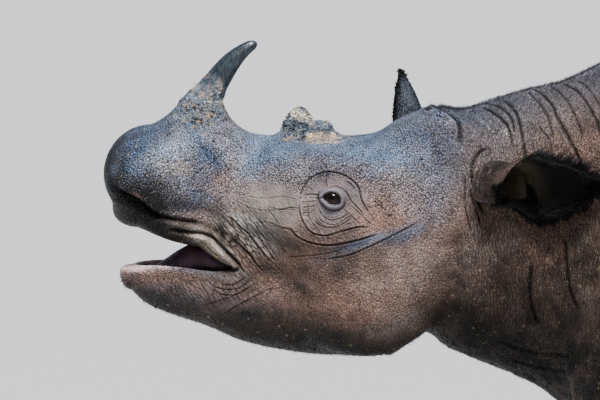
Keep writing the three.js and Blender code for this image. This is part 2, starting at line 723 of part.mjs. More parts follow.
function addHead() {
  const whole = cutBy(skins.head, [ahead(HEAD_BACK)]);
  const sockets = eyeball(-1, GAP).add(eyeball(1, GAP));
  const around = swollen(skins.head);
  add("head", mainBody(whole.intersect(ahead(JAW_LINE)).subtract(sockets)), "hide");
  add("lower_jaw", mainBody(whole.intersect(behind(JAW_LINE))), "hide");
  add("eye_left", eyeball(-1), "eye");
  add("eye_right", eyeball(1), "eye");
  add("tongue", mainBody(tongue().subtract(around)), "tongue");
  add("horn_front", mainBody(horn(HORN.front, 9).subtract(around)), "horn");
  add("horn_rear", mainBody(rearHorn().subtract(around)), "horn");
}

function addEars() {
  const around = swollen(skins.head).add(swollen(skins.neck));
  for (const [side, shape] of Object.entries(EARS))
    add(`ear_${side}`, mainBody(ear(shape).subtract(around)), "ear");
}

async function addTrunk() {
  add("neck", cutBy(skins.neck, [behind(HEAD_BACK), ahead(NECK_BACK)]), "hide");
  const shoulders = await fleshMesh([-520, -430, 400], [-23, 430, 1330], TRUNK_CELL);
  const shoulderCuts = [behind(NECK_BACK), ahead(SHOULDER_BACK), above(LEG_TOP)];
  add("shoulders", cutBy(shoulders, shoulderCuts), "hide");
  const barrel = await fleshMesh([-23, -430, 400], [679, 430, 1330], TRUNK_CELL);
  add("barrel", cutBy(barrel, [behind(SHOULDER_BACK), ahead(RUMP_FRONT)]), "hide");
  add("rump", cutBy(skins.rump, [behind(RUMP_FRONT), above(LEG_TOP)]), "hide");
  add("tail", mainBody(tail().subtract(swollen(skins.rump))), "hide");
}

async function addLegs() {
  for (const [name, stance] of Object.entries(STANCE)) {
    const lengthwise = name.endsWith("fore") ? ahead(MIDRIFF) : behind(MIDRIFF);
    const [inner, outer] = stance.side < 0 ? [-350, -20] : [20, 350];
    const [front, back] = [stance.x - 230, stance.x + 230];
    const own = [onSide(stance.side), lengthwise];
    const leg = await fleshMesh([front, inner, ANKLE - 40], [back, outer, LEG_TOP], LEG_CELL);
    add(`${name}_leg`, cutBy(leg, [above(ANKLE + GAP / 2), below(LEG_TOP - GAP), ...own]), "hide");
    const foot = await fleshMesh([front, inner, -30], [back, outer, ANKLE], FOOT_CELL);
    add(`${name}_foot`, cutBy(foot, [above(0), below(ANKLE - GAP / 2), ...own]), "hide");
    const around = swollen(foot);
    for (const shape of NAILS) {
      const whole = nail(stance, shape).intersect(above(0));
      add(`${name}_nail_${shape.name}`, mainBody(whole.subtract(around)), "nail");
    }
  }
}

addHead();
addEars();
await addTrunk();
await addLegs();

export default animal;
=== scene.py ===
import math
from concurrent.futures import ThreadPoolExecutor

import bpy
import numpy as np
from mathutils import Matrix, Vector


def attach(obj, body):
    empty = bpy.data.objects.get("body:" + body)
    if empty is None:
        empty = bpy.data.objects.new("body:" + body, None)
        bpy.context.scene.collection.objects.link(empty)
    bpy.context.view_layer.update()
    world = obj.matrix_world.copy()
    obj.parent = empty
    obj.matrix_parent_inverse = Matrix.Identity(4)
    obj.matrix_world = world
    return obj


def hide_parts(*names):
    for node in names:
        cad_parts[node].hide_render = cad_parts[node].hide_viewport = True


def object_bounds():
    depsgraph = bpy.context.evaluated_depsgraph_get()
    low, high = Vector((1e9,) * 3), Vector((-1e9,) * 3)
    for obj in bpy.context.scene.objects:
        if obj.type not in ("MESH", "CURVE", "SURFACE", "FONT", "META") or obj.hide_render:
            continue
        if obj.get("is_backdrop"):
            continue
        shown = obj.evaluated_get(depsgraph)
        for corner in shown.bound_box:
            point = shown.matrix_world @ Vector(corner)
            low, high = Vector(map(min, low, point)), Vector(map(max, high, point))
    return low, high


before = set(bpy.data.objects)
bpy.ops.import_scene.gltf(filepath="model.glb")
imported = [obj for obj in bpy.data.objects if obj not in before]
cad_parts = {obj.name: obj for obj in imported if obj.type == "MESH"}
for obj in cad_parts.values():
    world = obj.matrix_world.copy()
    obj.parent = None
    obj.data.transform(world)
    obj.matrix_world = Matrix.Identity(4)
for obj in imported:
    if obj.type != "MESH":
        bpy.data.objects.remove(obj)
solid_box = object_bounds()

MM = 0.001
EPS = 1e-9

# ---- the body's measures
COAT_DEPTH = 2.0  # how far the skin lies inside the solids, to leave room for the hair

# Parts that run along X: place, top, mid and bottom of the section, its half width, and how square it is
# above and below (2 is round).
SNOUT = [
    (-1137, 1177, 1090, 1012, 84, 2.1, 2.3),
    (-1085, 1192, 1088, 1003, 90, 2.1, 2.3),
    (-1030, 1179, 1082, 984, 88, 2.1, 2.2),
    (-960, 1160, 1060, 938, 96, 2.2, 2.1),
    (-890, 1156, 1040, 900, 113, 2.3, 2.1),
    (-829, 1156, 1040, 880, 124, 2.4, 2.1),
    (-760, 1161, 1040, 860, 137, 2.4, 2.1),
    (-695, 1180, 1040, 850, 142, 2.2, 2.1),
    (-630, 1194, 1030, 850, 142, 2.0, 2.1),
]
UPPER_LIP = [
    (-1160, 1058, 1030, 998, 60, 2.2, 2.4),
    (-1110, 1058, 1016, 975, 74, 2.2, 2.6),
    (-1050, 1046, 1002, 957, 81, 2.2, 3.0),
    (-1008, 1026, 972, 930, 87, 2.2, 3.2),
    (-965, 1010, 946, 896, 92, 2.2, 2.8),
    (-915, 1010, 935, 870, 101, 2.2, 2.2),
    (-860, 1010, 925, 850, 112, 2.2, 2.2),
]
JAW = [
    (-1172, 938, 925, 891, 41, 2.6, 2.0),
    (-1148, 944, 924, 869, 54, 3.2, 2.0),
    (-1100, 946, 914, 848, 65, 3.2, 2.0),
    (-1040, 944, 906, 828, 76, 3.2, 2.0),
    (-985, 940, 898, 804, 86, 3.0, 2.0),
    (-885, 944, 884, 784, 106, 2.0, 2.0),
    (-808, 980, 890, 780, 120, 2.0, 2.0),
    (-745, 980, 900, 786, 124, 2.0, 2.0),
]
MOUTH = [
    (-1138, 1004, 955, 917, 37, 2.3, 2.3),
    (-1080, 1000, 945, 907, 50, 2.3, 2.3),
    (-1020, 983, 936, 902, 59, 2.3, 2.3),
    (-972, 958, 930, 902, 50, 2.2, 2.2),
    (-944, 946, 925, 905, 38, 2.0, 2.0),
]
# The corner of the mouth, a slit between the lips that goes through both cheeks.
CORNER = [
    (-1056, 972, 954, 940, 110, 3, 3),
    (-1039, 960, 947, 937, 110, 3, 3),
    (-1021, 949, 942, 935, 110, 3, 3),
    (-1004, 940, 937.5, 934, 110, 3, 3),
    (-993, 937, 935.5, 934, 110, 3, 3),
]
NECK = [
    (-700, 1170, 1010, 835, 124, 2.0, 2.0),
    (-630, 1196, 1008, 792, 148, 2.0, 2.0),
    (-560, 1218, 1000, 762, 173, 1.95, 2.0),
    (-500, 1234, 988, 736, 198, 1.95, 2.0),
    (-440, 1247, 975, 711, 222, 1.9, 2.0),
    (-375, 1261, 960, 675, 248, 1.9, 2.0),
    (-300, 1275, 940, 620, 275, 1.9, 2.0),
]
TRUNK = [
    (-320, 1270, 930, 612, 268, 1.9, 2.1),
    (-235, 1290, 905, 545, 300, 1.85, 2.1),
    (-110, 1284, 880, 506, 328, 1.9, 2.2),
    (80, 1266, 860, 484, 358, 2.0, 2.2),
    (320, 1259, 850, 464, 376, 2.1, 2.2),
    (560, 1270, 850, 478, 368, 2.1, 2.2),
    (760, 1281, 875, 545, 340, 2.0, 2.1),
    (930, 1262, 900, 612, 298, 2.0, 2.0),
    (1045, 1210, 915, 665, 246, 2.0, 2.0),
]
# Parts that stand: height, the section's middle in X and Y, and its half sizes along X and Y.
FORE_LEG = [
    (20, -12, 190, 104, 97),
    (70, -10, 190, 100, 95),
    (130, -2, 192, 87, 84),
    (210, 2, 194, 78, 73),
    (310, -4, 197, 86, 79),
    (410, 4, 202, 92, 78),
    (520, 18, 207, 128, 95),
    (640, 20, 210, 160, 104),
    (760, 6, 210, 165, 100),
]
HIND_LEG = [
    (20, -24, 182, 98, 90),
    (70, -22, 182, 95, 88),
    (130, -6, 182, 81, 78),
    (230, 14, 183, 70, 65),
    (330, 28, 185, 79, 67),
    (400, 30, 188, 96, 72),
    (500, -10, 195, 122, 88),
    (620, -40, 203, 176, 108),
    (760, -10, 203, 205, 118),
]
FRONT_BOSS = [(1150, -1060, 0, 84, 64), (1178, -1057, 0, 60, 47), (1206, -1053, 0, 42, 35)]
REAR_BOSS = [(1135, -872, 0, 76, 58), (1158, -872, 0, 52, 40)]
# Legs: where each stands along X, its side and its sections.
STANCE = {
    "left_fore": (-262, -1, FORE_LEG),
    "right_fore": (-196, 1, FORE_LEG),
    "left_hind": (838, -1, HIND_LEG),
    "right_hind": (908, 1, HIND_LEG),
}
# Rounded swellings on both sides: centre, half sizes, pitch in degrees and melt.
SWELLINGS = {
    "brow": ((-822, 86, 1102), (112, 44, 38), 4, 44),
    "cheekbone": ((-778, 98, 1000), (155, 44, 52), 9, 50),
    "jaw muscle": ((-770, 84, 912), (122, 62, 122), 0, 40),
    "eye mound": ((-829, 104, 1048), (84, 34, 66), 0, 36),
    "nostril wing": ((-1142, 44, 1080), (62, 46, 60), 12, 26),
    "poll": ((-655, 56, 1142), (75, 60, 56), -10, 40),
    "shoulder": ((-215, 212, 900), (185, 112, 310), 9, 70),
    "upper arm": ((-275, 205, 735), (150, 98, 140), -20, 60),
    "haunch": ((900, 192, 900), (215, 128, 300), -12, 80),
    "stifle": ((780, 206, 690), (140, 112, 160), 18, 60),
}


# ---- the field of flesh
LEG_SQUARENESS = 2.15


def smooth_table(rows, step=2.0):
    """Every column of rows on a smooth curve: the table's places, and its values there."""
    rows = np.array(rows, float)
    at, value = rows[:, 0], rows[:, 1:]
    lean = np.empty_like(value)
    lean[1:-1] = (value[2:] - value[:-2]) / (at[2:] - at[:-2])[:, None]
    lean[0] = (value[1] - value[0]) / (at[1] - at[0])
    lean[-1] = (value[-1] - value[-2]) / (at[-1] - at[-2])
    place = np.linspace(at[0], at[-1], int((at[-1] - at[0]) / step) + 1)
    i = np.clip(np.searchsorted(at, place, side="right") - 1, 0, len(at) - 2)
    long = (at[i + 1] - at[i])[:, None]
    u = (place - at[i])[:, None] / long
    return place, (
        value[i] * (2 * u**3 - 3 * u**2 + 1)
        + value[i + 1] * (3 * u**2 - 2 * u**3)
        + long * lean[i] * (u**3 - 2 * u**2 + u)
        + long * lean[i + 1] * (u**3 - u**2)
    )


def rounded_distance(p, radius_p, q, radius_q, power, end, cap):
    """About how far outside a rounded section a point is; p and q are shares of the half sizes."""
    flat = (np.abs(p) ** power + np.abs(q) ** power) ** (1 / power)
    reach = np.sqrt(flat**2 + end**2)
    steep = np.sqrt((p / radius_p) ** 2 + (q / radius_q) ** 2 + (end / cap) ** 2) + EPS
    return (reach - 1) * np.maximum(reach, 0.05) / steep


def past_end(place, at, cap):
    return np.maximum(np.maximum(place[0] - at, at - place[-1]), 0) / cap


class Lying:
    """A tube of rounded sections that runs along X."""

    side = 0  # a part with a side other than 0 is on that side only

    def __init__(self, rows, cap, melt):
        self.place, self.value = smooth_table(rows)
        self.cap, self.melt = cap, melt
        top, bottom, half = self.value[:, 0], self.value[:, 2], self.value[:, 3]
        self.low = np.array([self.place[0] - cap, -half.max(), bottom.min()])
        self.high = np.array([self.place[-1] + cap, half.max(), top.max()])

    def field(self, x, y, z):
        top, mid, bottom, half, up, down = (np.interp(x, self.place, column) for column in self.value.T)
        above = z > mid
        radius = np.where(above, top - mid, mid - bottom)
        power = np.where(above, up, down)
        end = past_end(self.place, x, self.cap)
        return rounded_distance((z - mid) / radius, radius, y / half, half, power, end, self.cap)


class Standing:
    """A tube of rounded sections that stands."""

    def __init__(self, rows, cap, melt, x0=0, side=0):
        self.place, self.value = smooth_table(rows)
        self.cap, self.melt, self.x0, self.side = cap, melt, x0, side
        x, y, long, wide = self.value.T
        self.low = np.array([x0 + (x - long).min(), (y - wide).min(), self.place[0] - cap])
        self.high = np.array([x0 + (x + long).max(), (y + wide).max(), self.place[-1] + cap])

    def field(self, x, y, z):
        mid_x, mid_y, long, wide = (np.interp(z, self.place, column) for column in self.value.T)
        end = past_end(self.place, z, self.cap)
        p, q = (x - self.x0 - mid_x) / long, (y - mid_y) / wide
        return rounded_distance(p, long, q, wide, LEG_SQUARENESS, end, self.cap)


class Swelling:
    """A tilted ellipsoid."""

    side = 0

    def __init__(self, centre, radii, pitch, melt):
        self.centre, self.radii, self.melt = centre, radii, melt
        self.cos, self.sin = math.cos(math.radians(pitch)), math.sin(math.radians(pitch))
        reach = np.array([max(radii[0], radii[2]), radii[1], max(radii[0], radii[2])])
        self.low, self.high = np.array(centre) - reach, np.array(centre) + reach

    def field(self, x, y, z):
        dx, dz = x - self.centre[0], z - self.centre[2]
        p = (self.cos * dx - self.sin * dz) / self.radii[0]
        q = (y - self.centre[1]) / self.radii[1]
        r = (self.sin * dx + self.cos * dz) / self.radii[2]
        reach = np.sqrt(p * p + q * q + r * r)
        steep = np.sqrt((p / self.radii[0]) ** 2 + (q / self.radii[1]) ** 2 + (r / self.radii[2]) ** 2)
        return (reach - 1) * reach / (steep + EPS)


def melted(a, b, melt):
    """The smaller of two distances, with the corner between them rounded over a width of melt."""
    h = np.maximum(melt - np.abs(a - b), 0) / melt
    return np.minimum(a, b) - h * h * melt / 4


PARTS = [
    Lying(SNOUT, 84, 1),
    Lying(UPPER_LIP, 45, 15),
    Lying(JAW, 22, 22),
    Lying(NECK, 60, 40),
    Lying(TRUNK, 122, 90),
    Standing(FRONT_BOSS, 16, 26),
    Standing(REAR_BOSS, 12, 16),
    *[Swelling(*measures) for measures in SWELLINGS.values()],
    *[Standing(rows, 46, 60, x0, side) for x0, side, rows in STANCE.values()],
]
MOUTH_HOLLOW = Lying(MOUTH, 24, 8)
MOUTH_SLIT = Lying(CORNER, 3, 3)
FAR_OUT = 1e3
SOLE_ROUNDING = 12
REACH = 30  # a part is left out of the sum this much further than its melt away


def flesh(points):
    """The field at points: about the distance outside the flesh, negative inside."""
    with ThreadPoolExecutor() as pool:
        return np.concatenate(list(pool.map(flesh_of_share, np.array_split(points, 16))))


def flesh_of_share(points):
    x, across, z = points.T
    y = np.abs(across)
    total = np.full(len(points), FAR_OUT)

    def melt_in(part, sign):
        (x0, y0, z0), (x1, y1, z1) = part.low - part.melt - REACH, part.high + part.melt + REACH
        near = (x > x0) & (x < x1) & (y > y0) & (y < y1) & (z > z0) & (z < z1)
        if part.side:
            near &= part.side * across > 0
        near = np.flatnonzero(near)
        if len(near):
            new = part.field(x[near], y[near], z[near])
            total[near] = sign * melted(sign * total[near], new, part.melt)

    for part in PARTS:
        melt_in(part, 1)
    melt_in(MOUTH_HOLLOW, -1)
    melt_in(MOUTH_SLIT, -1)
    return -melted(-total, z + COAT_DEPTH, SOLE_ROUNDING)


def field_slope(points, step=0.5):
    """The field and its slope at points."""
    here = flesh(points)
    slope = np.stack([flesh(points + step * way) - here for way in np.eye(3)], axis=1) / step
    return here, slope


def settle(points, level, turns=3):
    """Moves points to where the field is at level, and gives the outward direction there."""
    for _ in range(turns):
        here, slope = field_slope(points)
        steep = np.maximum(np.linalg.norm(slope, axis=1), 0.05)
        move = np.clip((level - here) / steep, -6, 6)
        points = points + slope * (move / steep)[:, None]
    return points, slope / steep[:, None]


# ---- tools for lines, noise and cells
def ramp(low, high, value):
    """0 below low, 1 above high and a smooth step between them; low may be the larger."""
    t = np.clip((value - low) / (high - low), 0, 1)
    return t * t * (3 - 2 * t)


def spline(points, spacing):
    """Points at about equal spacings on a smooth curve through points."""
    p = np.array(points, float)
    ends = np.vstack([2 * p[0] - p[1], p, 2 * p[-1] - p[-2]])
    u = np.linspace(0, 1, 24, endpoint=False)[:, None]
    fine = []
    for a, b, c, d in zip(ends, ends[1:], ends[2:], ends[3:]):
        bend, twist = 2 * a - 5 * b + 4 * c - d, 3 * b - a - 3 * c + d
        fine.append(b + u * (c - a) / 2 + u**2 * bend / 2 + u**3 * twist / 2)
    fine = np.vstack([*fine, p[-1:]])
    run = np.concatenate([[0], np.cumsum(np.linalg.norm(np.diff(fine, axis=0), axis=1))])
    at = np.linspace(0, run[-1], max(int(run[-1] / spacing) + 1, 3))
    return np.stack([np.interp(at, run, column) for column in fine.T], axis=1)


def blob(x, z, place, size, turn=0):
    """1 at a place in the side view, falling to 0 round it; turn is in degrees."""
    cos, sin = math.cos(math.radians(turn)), math.sin(math.radians(turn))
    dx, dz = x - place[0], z - place[1]
    p, q = (cos * dx + sin * dz) / size[0], (cos * dz - sin * dx) / size[1]
    return np.exp(-p * p - q * q)


def one_sided(points):
    """Both sides laid on the one with Y above 0."""
    return points * [1, 0, 1] + [0, 1, 0] * np.abs(points)


def scattered(cell, seed):
    """A number from 0 to 1 for each whole cell (..., 3), the same on each run."""
    h = (cell.astype(np.int64) * [73856093, 19349663, 83492791]).sum(-1) + seed * 2654435761
    h = (h ^ (h >> 13)) * 1274126177 & 0xFFFFFFFF
    h = (h ^ (h >> 16)) * 2246822519 & 0xFFFFFFFF
    return (h ^ (h >> 13)) % 65536 / 65536


def rolling(points, size, seed=0):
    """Smooth noise from -1 to 1, with swells about size apart."""
    at = points / size
    cell = np.floor(at)
    t = at - cell
    t = t * t * (3 - 2 * t)
    total = np.zeros(len(points))
    for i in (0, 1):
        for j in (0, 1):
            for k in (0, 1):
                share = np.abs([1 - i, 1 - j, 1 - k] - t).prod(axis=1)
                total += share * scattered(cell + [i, j, k], seed)
    return 2 * total - 1


def cracks(points, size, seed=0):
    """How far a point is from the walls between cells about size wide: 0 on a wall, 1 in a cell's middle."""
    at = points / size
    cell = np.floor(at)
    first, second = np.full(len(points), 9.0), np.full(len(points), 9.0)
    for offset in np.stack(np.meshgrid(*[[-1, 0, 1]] * 3), -1).reshape(-1, 3):
        near = cell + offset
        seat = near + np.stack([scattered(near, seed + way) for way in (1, 2, 3)], axis=1)
        away = np.linalg.norm(seat - at, axis=1)
        second = np.minimum(second, np.maximum(first, away))
        first = np.minimum(first, away)
    return np.clip((second - first) * 2, 0, 1)


def on_side(places):
    """The point of the skin at each place (X, Z) of the side view, with Y above 0."""
    x, z = np.array(places, float).T
    inside, outside = np.zeros(len(x)), np.full(len(x), 450.0)
    for _ in range(20):
        middle = (inside + outside) / 2
        out = flesh(np.stack([x, middle, z], axis=1)) > -COAT_DEPTH
        inside, outside = np.where(out, inside, middle), np.where(out, middle, outside)
    return np.stack([x, inside, z], axis=1)


def beside_line(points, line, reach):
    """The points within reach of a line: their numbers, distances, shares along it and offsets from it."""
    near = np.flatnonzero(((points > line.min(0) - reach) & (points < line.max(0) + reach)).all(axis=1))
    start, step = line[:-1], np.diff(line, axis=0)
    found = []
    for part in np.array_split(near, len(near) // 4000 + 1):
        away = points[part][:, None] - start
        t = np.clip((away * step).sum(-1) / ((step**2).sum(-1) + EPS), 0, 1)
        offset = away - t[..., None] * step
        d = np.linalg.norm(offset, axis=-1)
        k = d.argmin(axis=1)
        row = np.arange(len(part))
        found.append((d[row, k], (k + t[row, k]) / len(step), offset[row, k], step[k]))
    d, share, offset, way = (np.concatenate(column) for column in zip(*found))
    close = d < reach
    return near[close], d[close], share[close], offset[close], way[close]


# ---- from the field to a mesh
CELL = 8.0
GRID_LOW = np.array([-1236.0, -388.0, -12.0])
GRID_HIGH = np.array([1190.0, 388.0, 1332.0])


def sampled(level):
    """The field on a grid, worked out only in the blocks that the surface passes through."""
    coarse = 6
    n = np.ceil((GRID_HIGH - GRID_LOW) / (CELL * coarse)).astype(int)
    values = np.full(n * coarse, FAR_OUT)
    block = np.stack(np.meshgrid(*[np.arange(k) for k in n], indexing="ij"), -1).reshape(-1, 3)
    middle = GRID_LOW + (block + 0.5) * CELL * coarse
    at_middle = flesh(middle)
    inside = np.stack(np.meshgrid(*[np.arange(coarse)] * 3, indexing="ij"), -1).reshape(-1, 3)
    close = np.abs(at_middle) < 1.6 * CELL * coarse
    for b in block[(~close) & (at_middle < 0)]:
        values[tuple(slice(i * coarse, (i + 1) * coarse) for i in b)] = -FAR_OUT
    grid = (block[close][:, None] * coarse + inside[None]).reshape(-1, 3)
    values[tuple(grid.T)] = flesh(GRID_LOW + grid * CELL) - level
    return values


def surface_net(values):
    """One point in each cell that the surface crosses, and two triangles across each edge it crosses."""
    corner = np.array([(i, j, k) for i in (0, 1) for j in (0, 1) for k in (0, 1)])
    n = np.array(values.shape) - 1
    stack = [values[i : i + n[0], j : j + n[1], k : k + n[2]] < 0 for i, j, k in corner]
    count = sum(s.astype(np.int8) for s in stack)
    cells = np.argwhere((count > 0) & (count < 8))
    at = np.stack([values[tuple((cells + c).T)] for c in corner], axis=1)
    total, hits = np.zeros((len(cells), 3)), np.zeros(len(cells))
    for a in range(8):
        for b in range(a + 1, 8):
            if np.abs(corner[a] - corner[b]).sum() == 1:
                cut = (at[:, a] < 0) != (at[:, b] < 0)
                share = np.where(cut, at[:, a] / np.where(cut, at[:, a] - at[:, b], 1), 0)
                total += cut[:, None] * (corner[a] + share[:, None] * (corner[b] - corner[a]))
                hits += cut
    points = GRID_LOW + CELL * (cells + total / hits[:, None])
    number = np.full(n, -1)
    number[tuple(cells.T)] = np.arange(len(cells))
    quads = []
    for axis in range(3):
        ways = np.eye(3, dtype=int)
        step, u, v = ways[axis], ways[(axis + 1) % 3], ways[(axis + 2) % 3]
        size = np.array(values.shape) - step
        here = values[: size[0], : size[1], : size[2]] < 0
        there = values[step[0] :, step[1] :, step[2] :] < 0
        edge = np.argwhere(here != there)
        solid_first = here[tuple(edge.T)]
        ring = [number[tuple((edge - a * u - b * v).T)] for a, b in ((0, 0), (1, 0), (1, 1), (0, 1))]
        ring = np.stack(ring, axis=1)
        ring[~solid_first] = ring[~solid_first][:, ::-1]
        quads.append(ring)
    quads = np.concatenate(quads)
    a, b, c, d = (points[quads[:, i]] for i in range(4))
    short = np.linalg.norm(a - c, axis=1) < np.linalg.norm(b - d, axis=1)
    first = np.where(short[:, None], quads[:, [0, 1, 2]], quads[:, [0, 1, 3]])
    second = np.where(short[:, None], quads[:, [0, 2, 3]], quads[:, [1, 2, 3]])
    return points, np.concatenate([first, second])


def cut_long_edges(points, faces, limit):
    """Halves each edge that is longer than limit allows at its middle; faces stay joined."""
    sides = np.sort(faces[:, [[0, 1], [1, 2], [2, 0]]].reshape(-1, 2), axis=1)
    key = sides[:, 0].astype(np.int64) * len(points) + sides[:, 1]
    unique, side_of = np.unique(key, return_inverse=True)
    ends = np.stack([unique // len(points), unique % len(points)], axis=1)
    a, b = points[ends[:, 0]], points[ends[:, 1]]
    long = np.linalg.norm(a - b, axis=1) > limit((a + b) / 2)
    middle = np.full(len(unique), -1)
    middle[long] = len(points) + np.arange(long.sum())
    new_points = ((a + b) / 2)[long]
    mid = middle[side_of].reshape(-1, 3)
    cuts = (mid >= 0).sum(axis=1)
    made = [faces[cuts == 0]]
    # a face's six points are its corners, 0 to 2, and the middles of its sides, 3 to 5
    for turn in range(3):
        f, m = np.roll(faces, -turn, axis=1), np.roll(mid, -turn, axis=1)
        one = (cuts == 1) & (m[:, 0] >= 0)
        six = np.concatenate([f[one], m[one]], axis=1)
        made += [six[:, [0, 3, 2]], six[:, [3, 1, 2]]]
        two = (cuts == 2) & (m[:, 2] < 0)
        six = np.concatenate([f[two], m[two]], axis=1)
        made += [six[:, [3, 1, 4]], six[:, [0, 3, 4]], six[:, [0, 4, 2]]]
    six = np.concatenate([faces[cuts == 3], mid[cuts == 3]], axis=1)
    made += [six[:, [0, 3, 5]], six[:, [3, 1, 4]], six[:, [5, 4, 2]], six[:, [3, 4, 5]]]
    return np.concatenate([points, new_points]), np.concatenate(made), len(new_points)


def relaxed(points, faces, share=0.5):
    """Each point moved part of the way to the middle of its neighbours."""
    sides = faces[:, [[0, 1], [1, 2], [2, 0]]].reshape(-1, 2)
    total, count = np.zeros_like(points), np.zeros(len(points))
    for axis in range(3):
        total[:, axis] = np.bincount(sides[:, 0], points[sides[:, 1], axis], len(points))
    count = np.bincount(sides[:, 0], minlength=len(points))
    return points + share * (total / np.maximum(count, 1)[:, None] - points)


EYE = np.array([-831.0, 137.0, 1059.0])  # the middle of an eye's opening, with Y above 0
MARK_CELL = 2.2  # size of the small cells of space by which creases ask for a finer mesh


def cell_keys(points):
    """A whole number for the small cell of one side's space that each point is in."""
    cell = np.floor((one_sided(points) + 2000) / MARK_CELL).astype(np.int64)
    return (cell * [1, 2000, 4000000]).sum(-1)


def fine_cells(lines):
    """The small cells that creases run through, and the longest edge wanted in each."""
    around = MARK_CELL * np.stack(np.meshgrid(*[[-1, 0, 1]] * 3), -1).reshape(-1, 3)
    keys, edges = [], []
    for name, line in lines.items():
        width = CREASES[name][1]
        place = line[:, None] + around * max(1, width / 4)
        if width > 4:
            place = (place[:, None] + around[:, None]).reshape(-1, 3)
        keys.append(np.unique(cell_keys(place)))
        edges.append(np.full(len(keys[-1]), max(1.7, 0.9 * width)))
    keys, edges = np.concatenate(keys), np.concatenate(edges)
    order = np.lexsort((edges, keys))
    keys, edges = keys[order], edges[order]
    first = np.concatenate([[True], keys[1:] != keys[:-1]])
    return keys[first], edges[first]


def wanted_edge(points, cells):
    """The longest edge that the skin may have at a place."""
    edge = np.interp(points[:, 0], [-1240, -640, -560, -300, -100, 1200], [4.0, 4.0, 5.0, 7.0, 12.5, 12.5])
    to_eye = np.linalg.norm(one_sided(points) - EYE, axis=1)
    edge = np.minimum(edge, np.interp(to_eye, [21, 26, 36, 60, 110, 200], [0.7, 0.95, 1.6, 2.8, 4.0, 20]))
    keys, edges = cells
    own = cell_keys(points)
    at = np.minimum(np.searchsorted(keys, own), len(keys) - 1)
    return np.where(keys[at] == own, np.minimum(edge, edges[at]), edge)


def skin_mesh(lines):
    cells = fine_cells(lines)
    points, faces = surface_net(sampled(-COAT_DEPTH))
    points, _ = settle(points, -COAT_DEPTH)
    for _ in range(10):
        points, faces, added = cut_long_edges(points, faces, lambda middle: wanted_edge(middle, cells))
        points = relaxed(points, faces)
        points, _ = settle(points, -COAT_DEPTH, turns=1)
        if not added:
            break
    points, outward = settle(points, -COAT_DEPTH, turns=2)
    return points, faces, outward


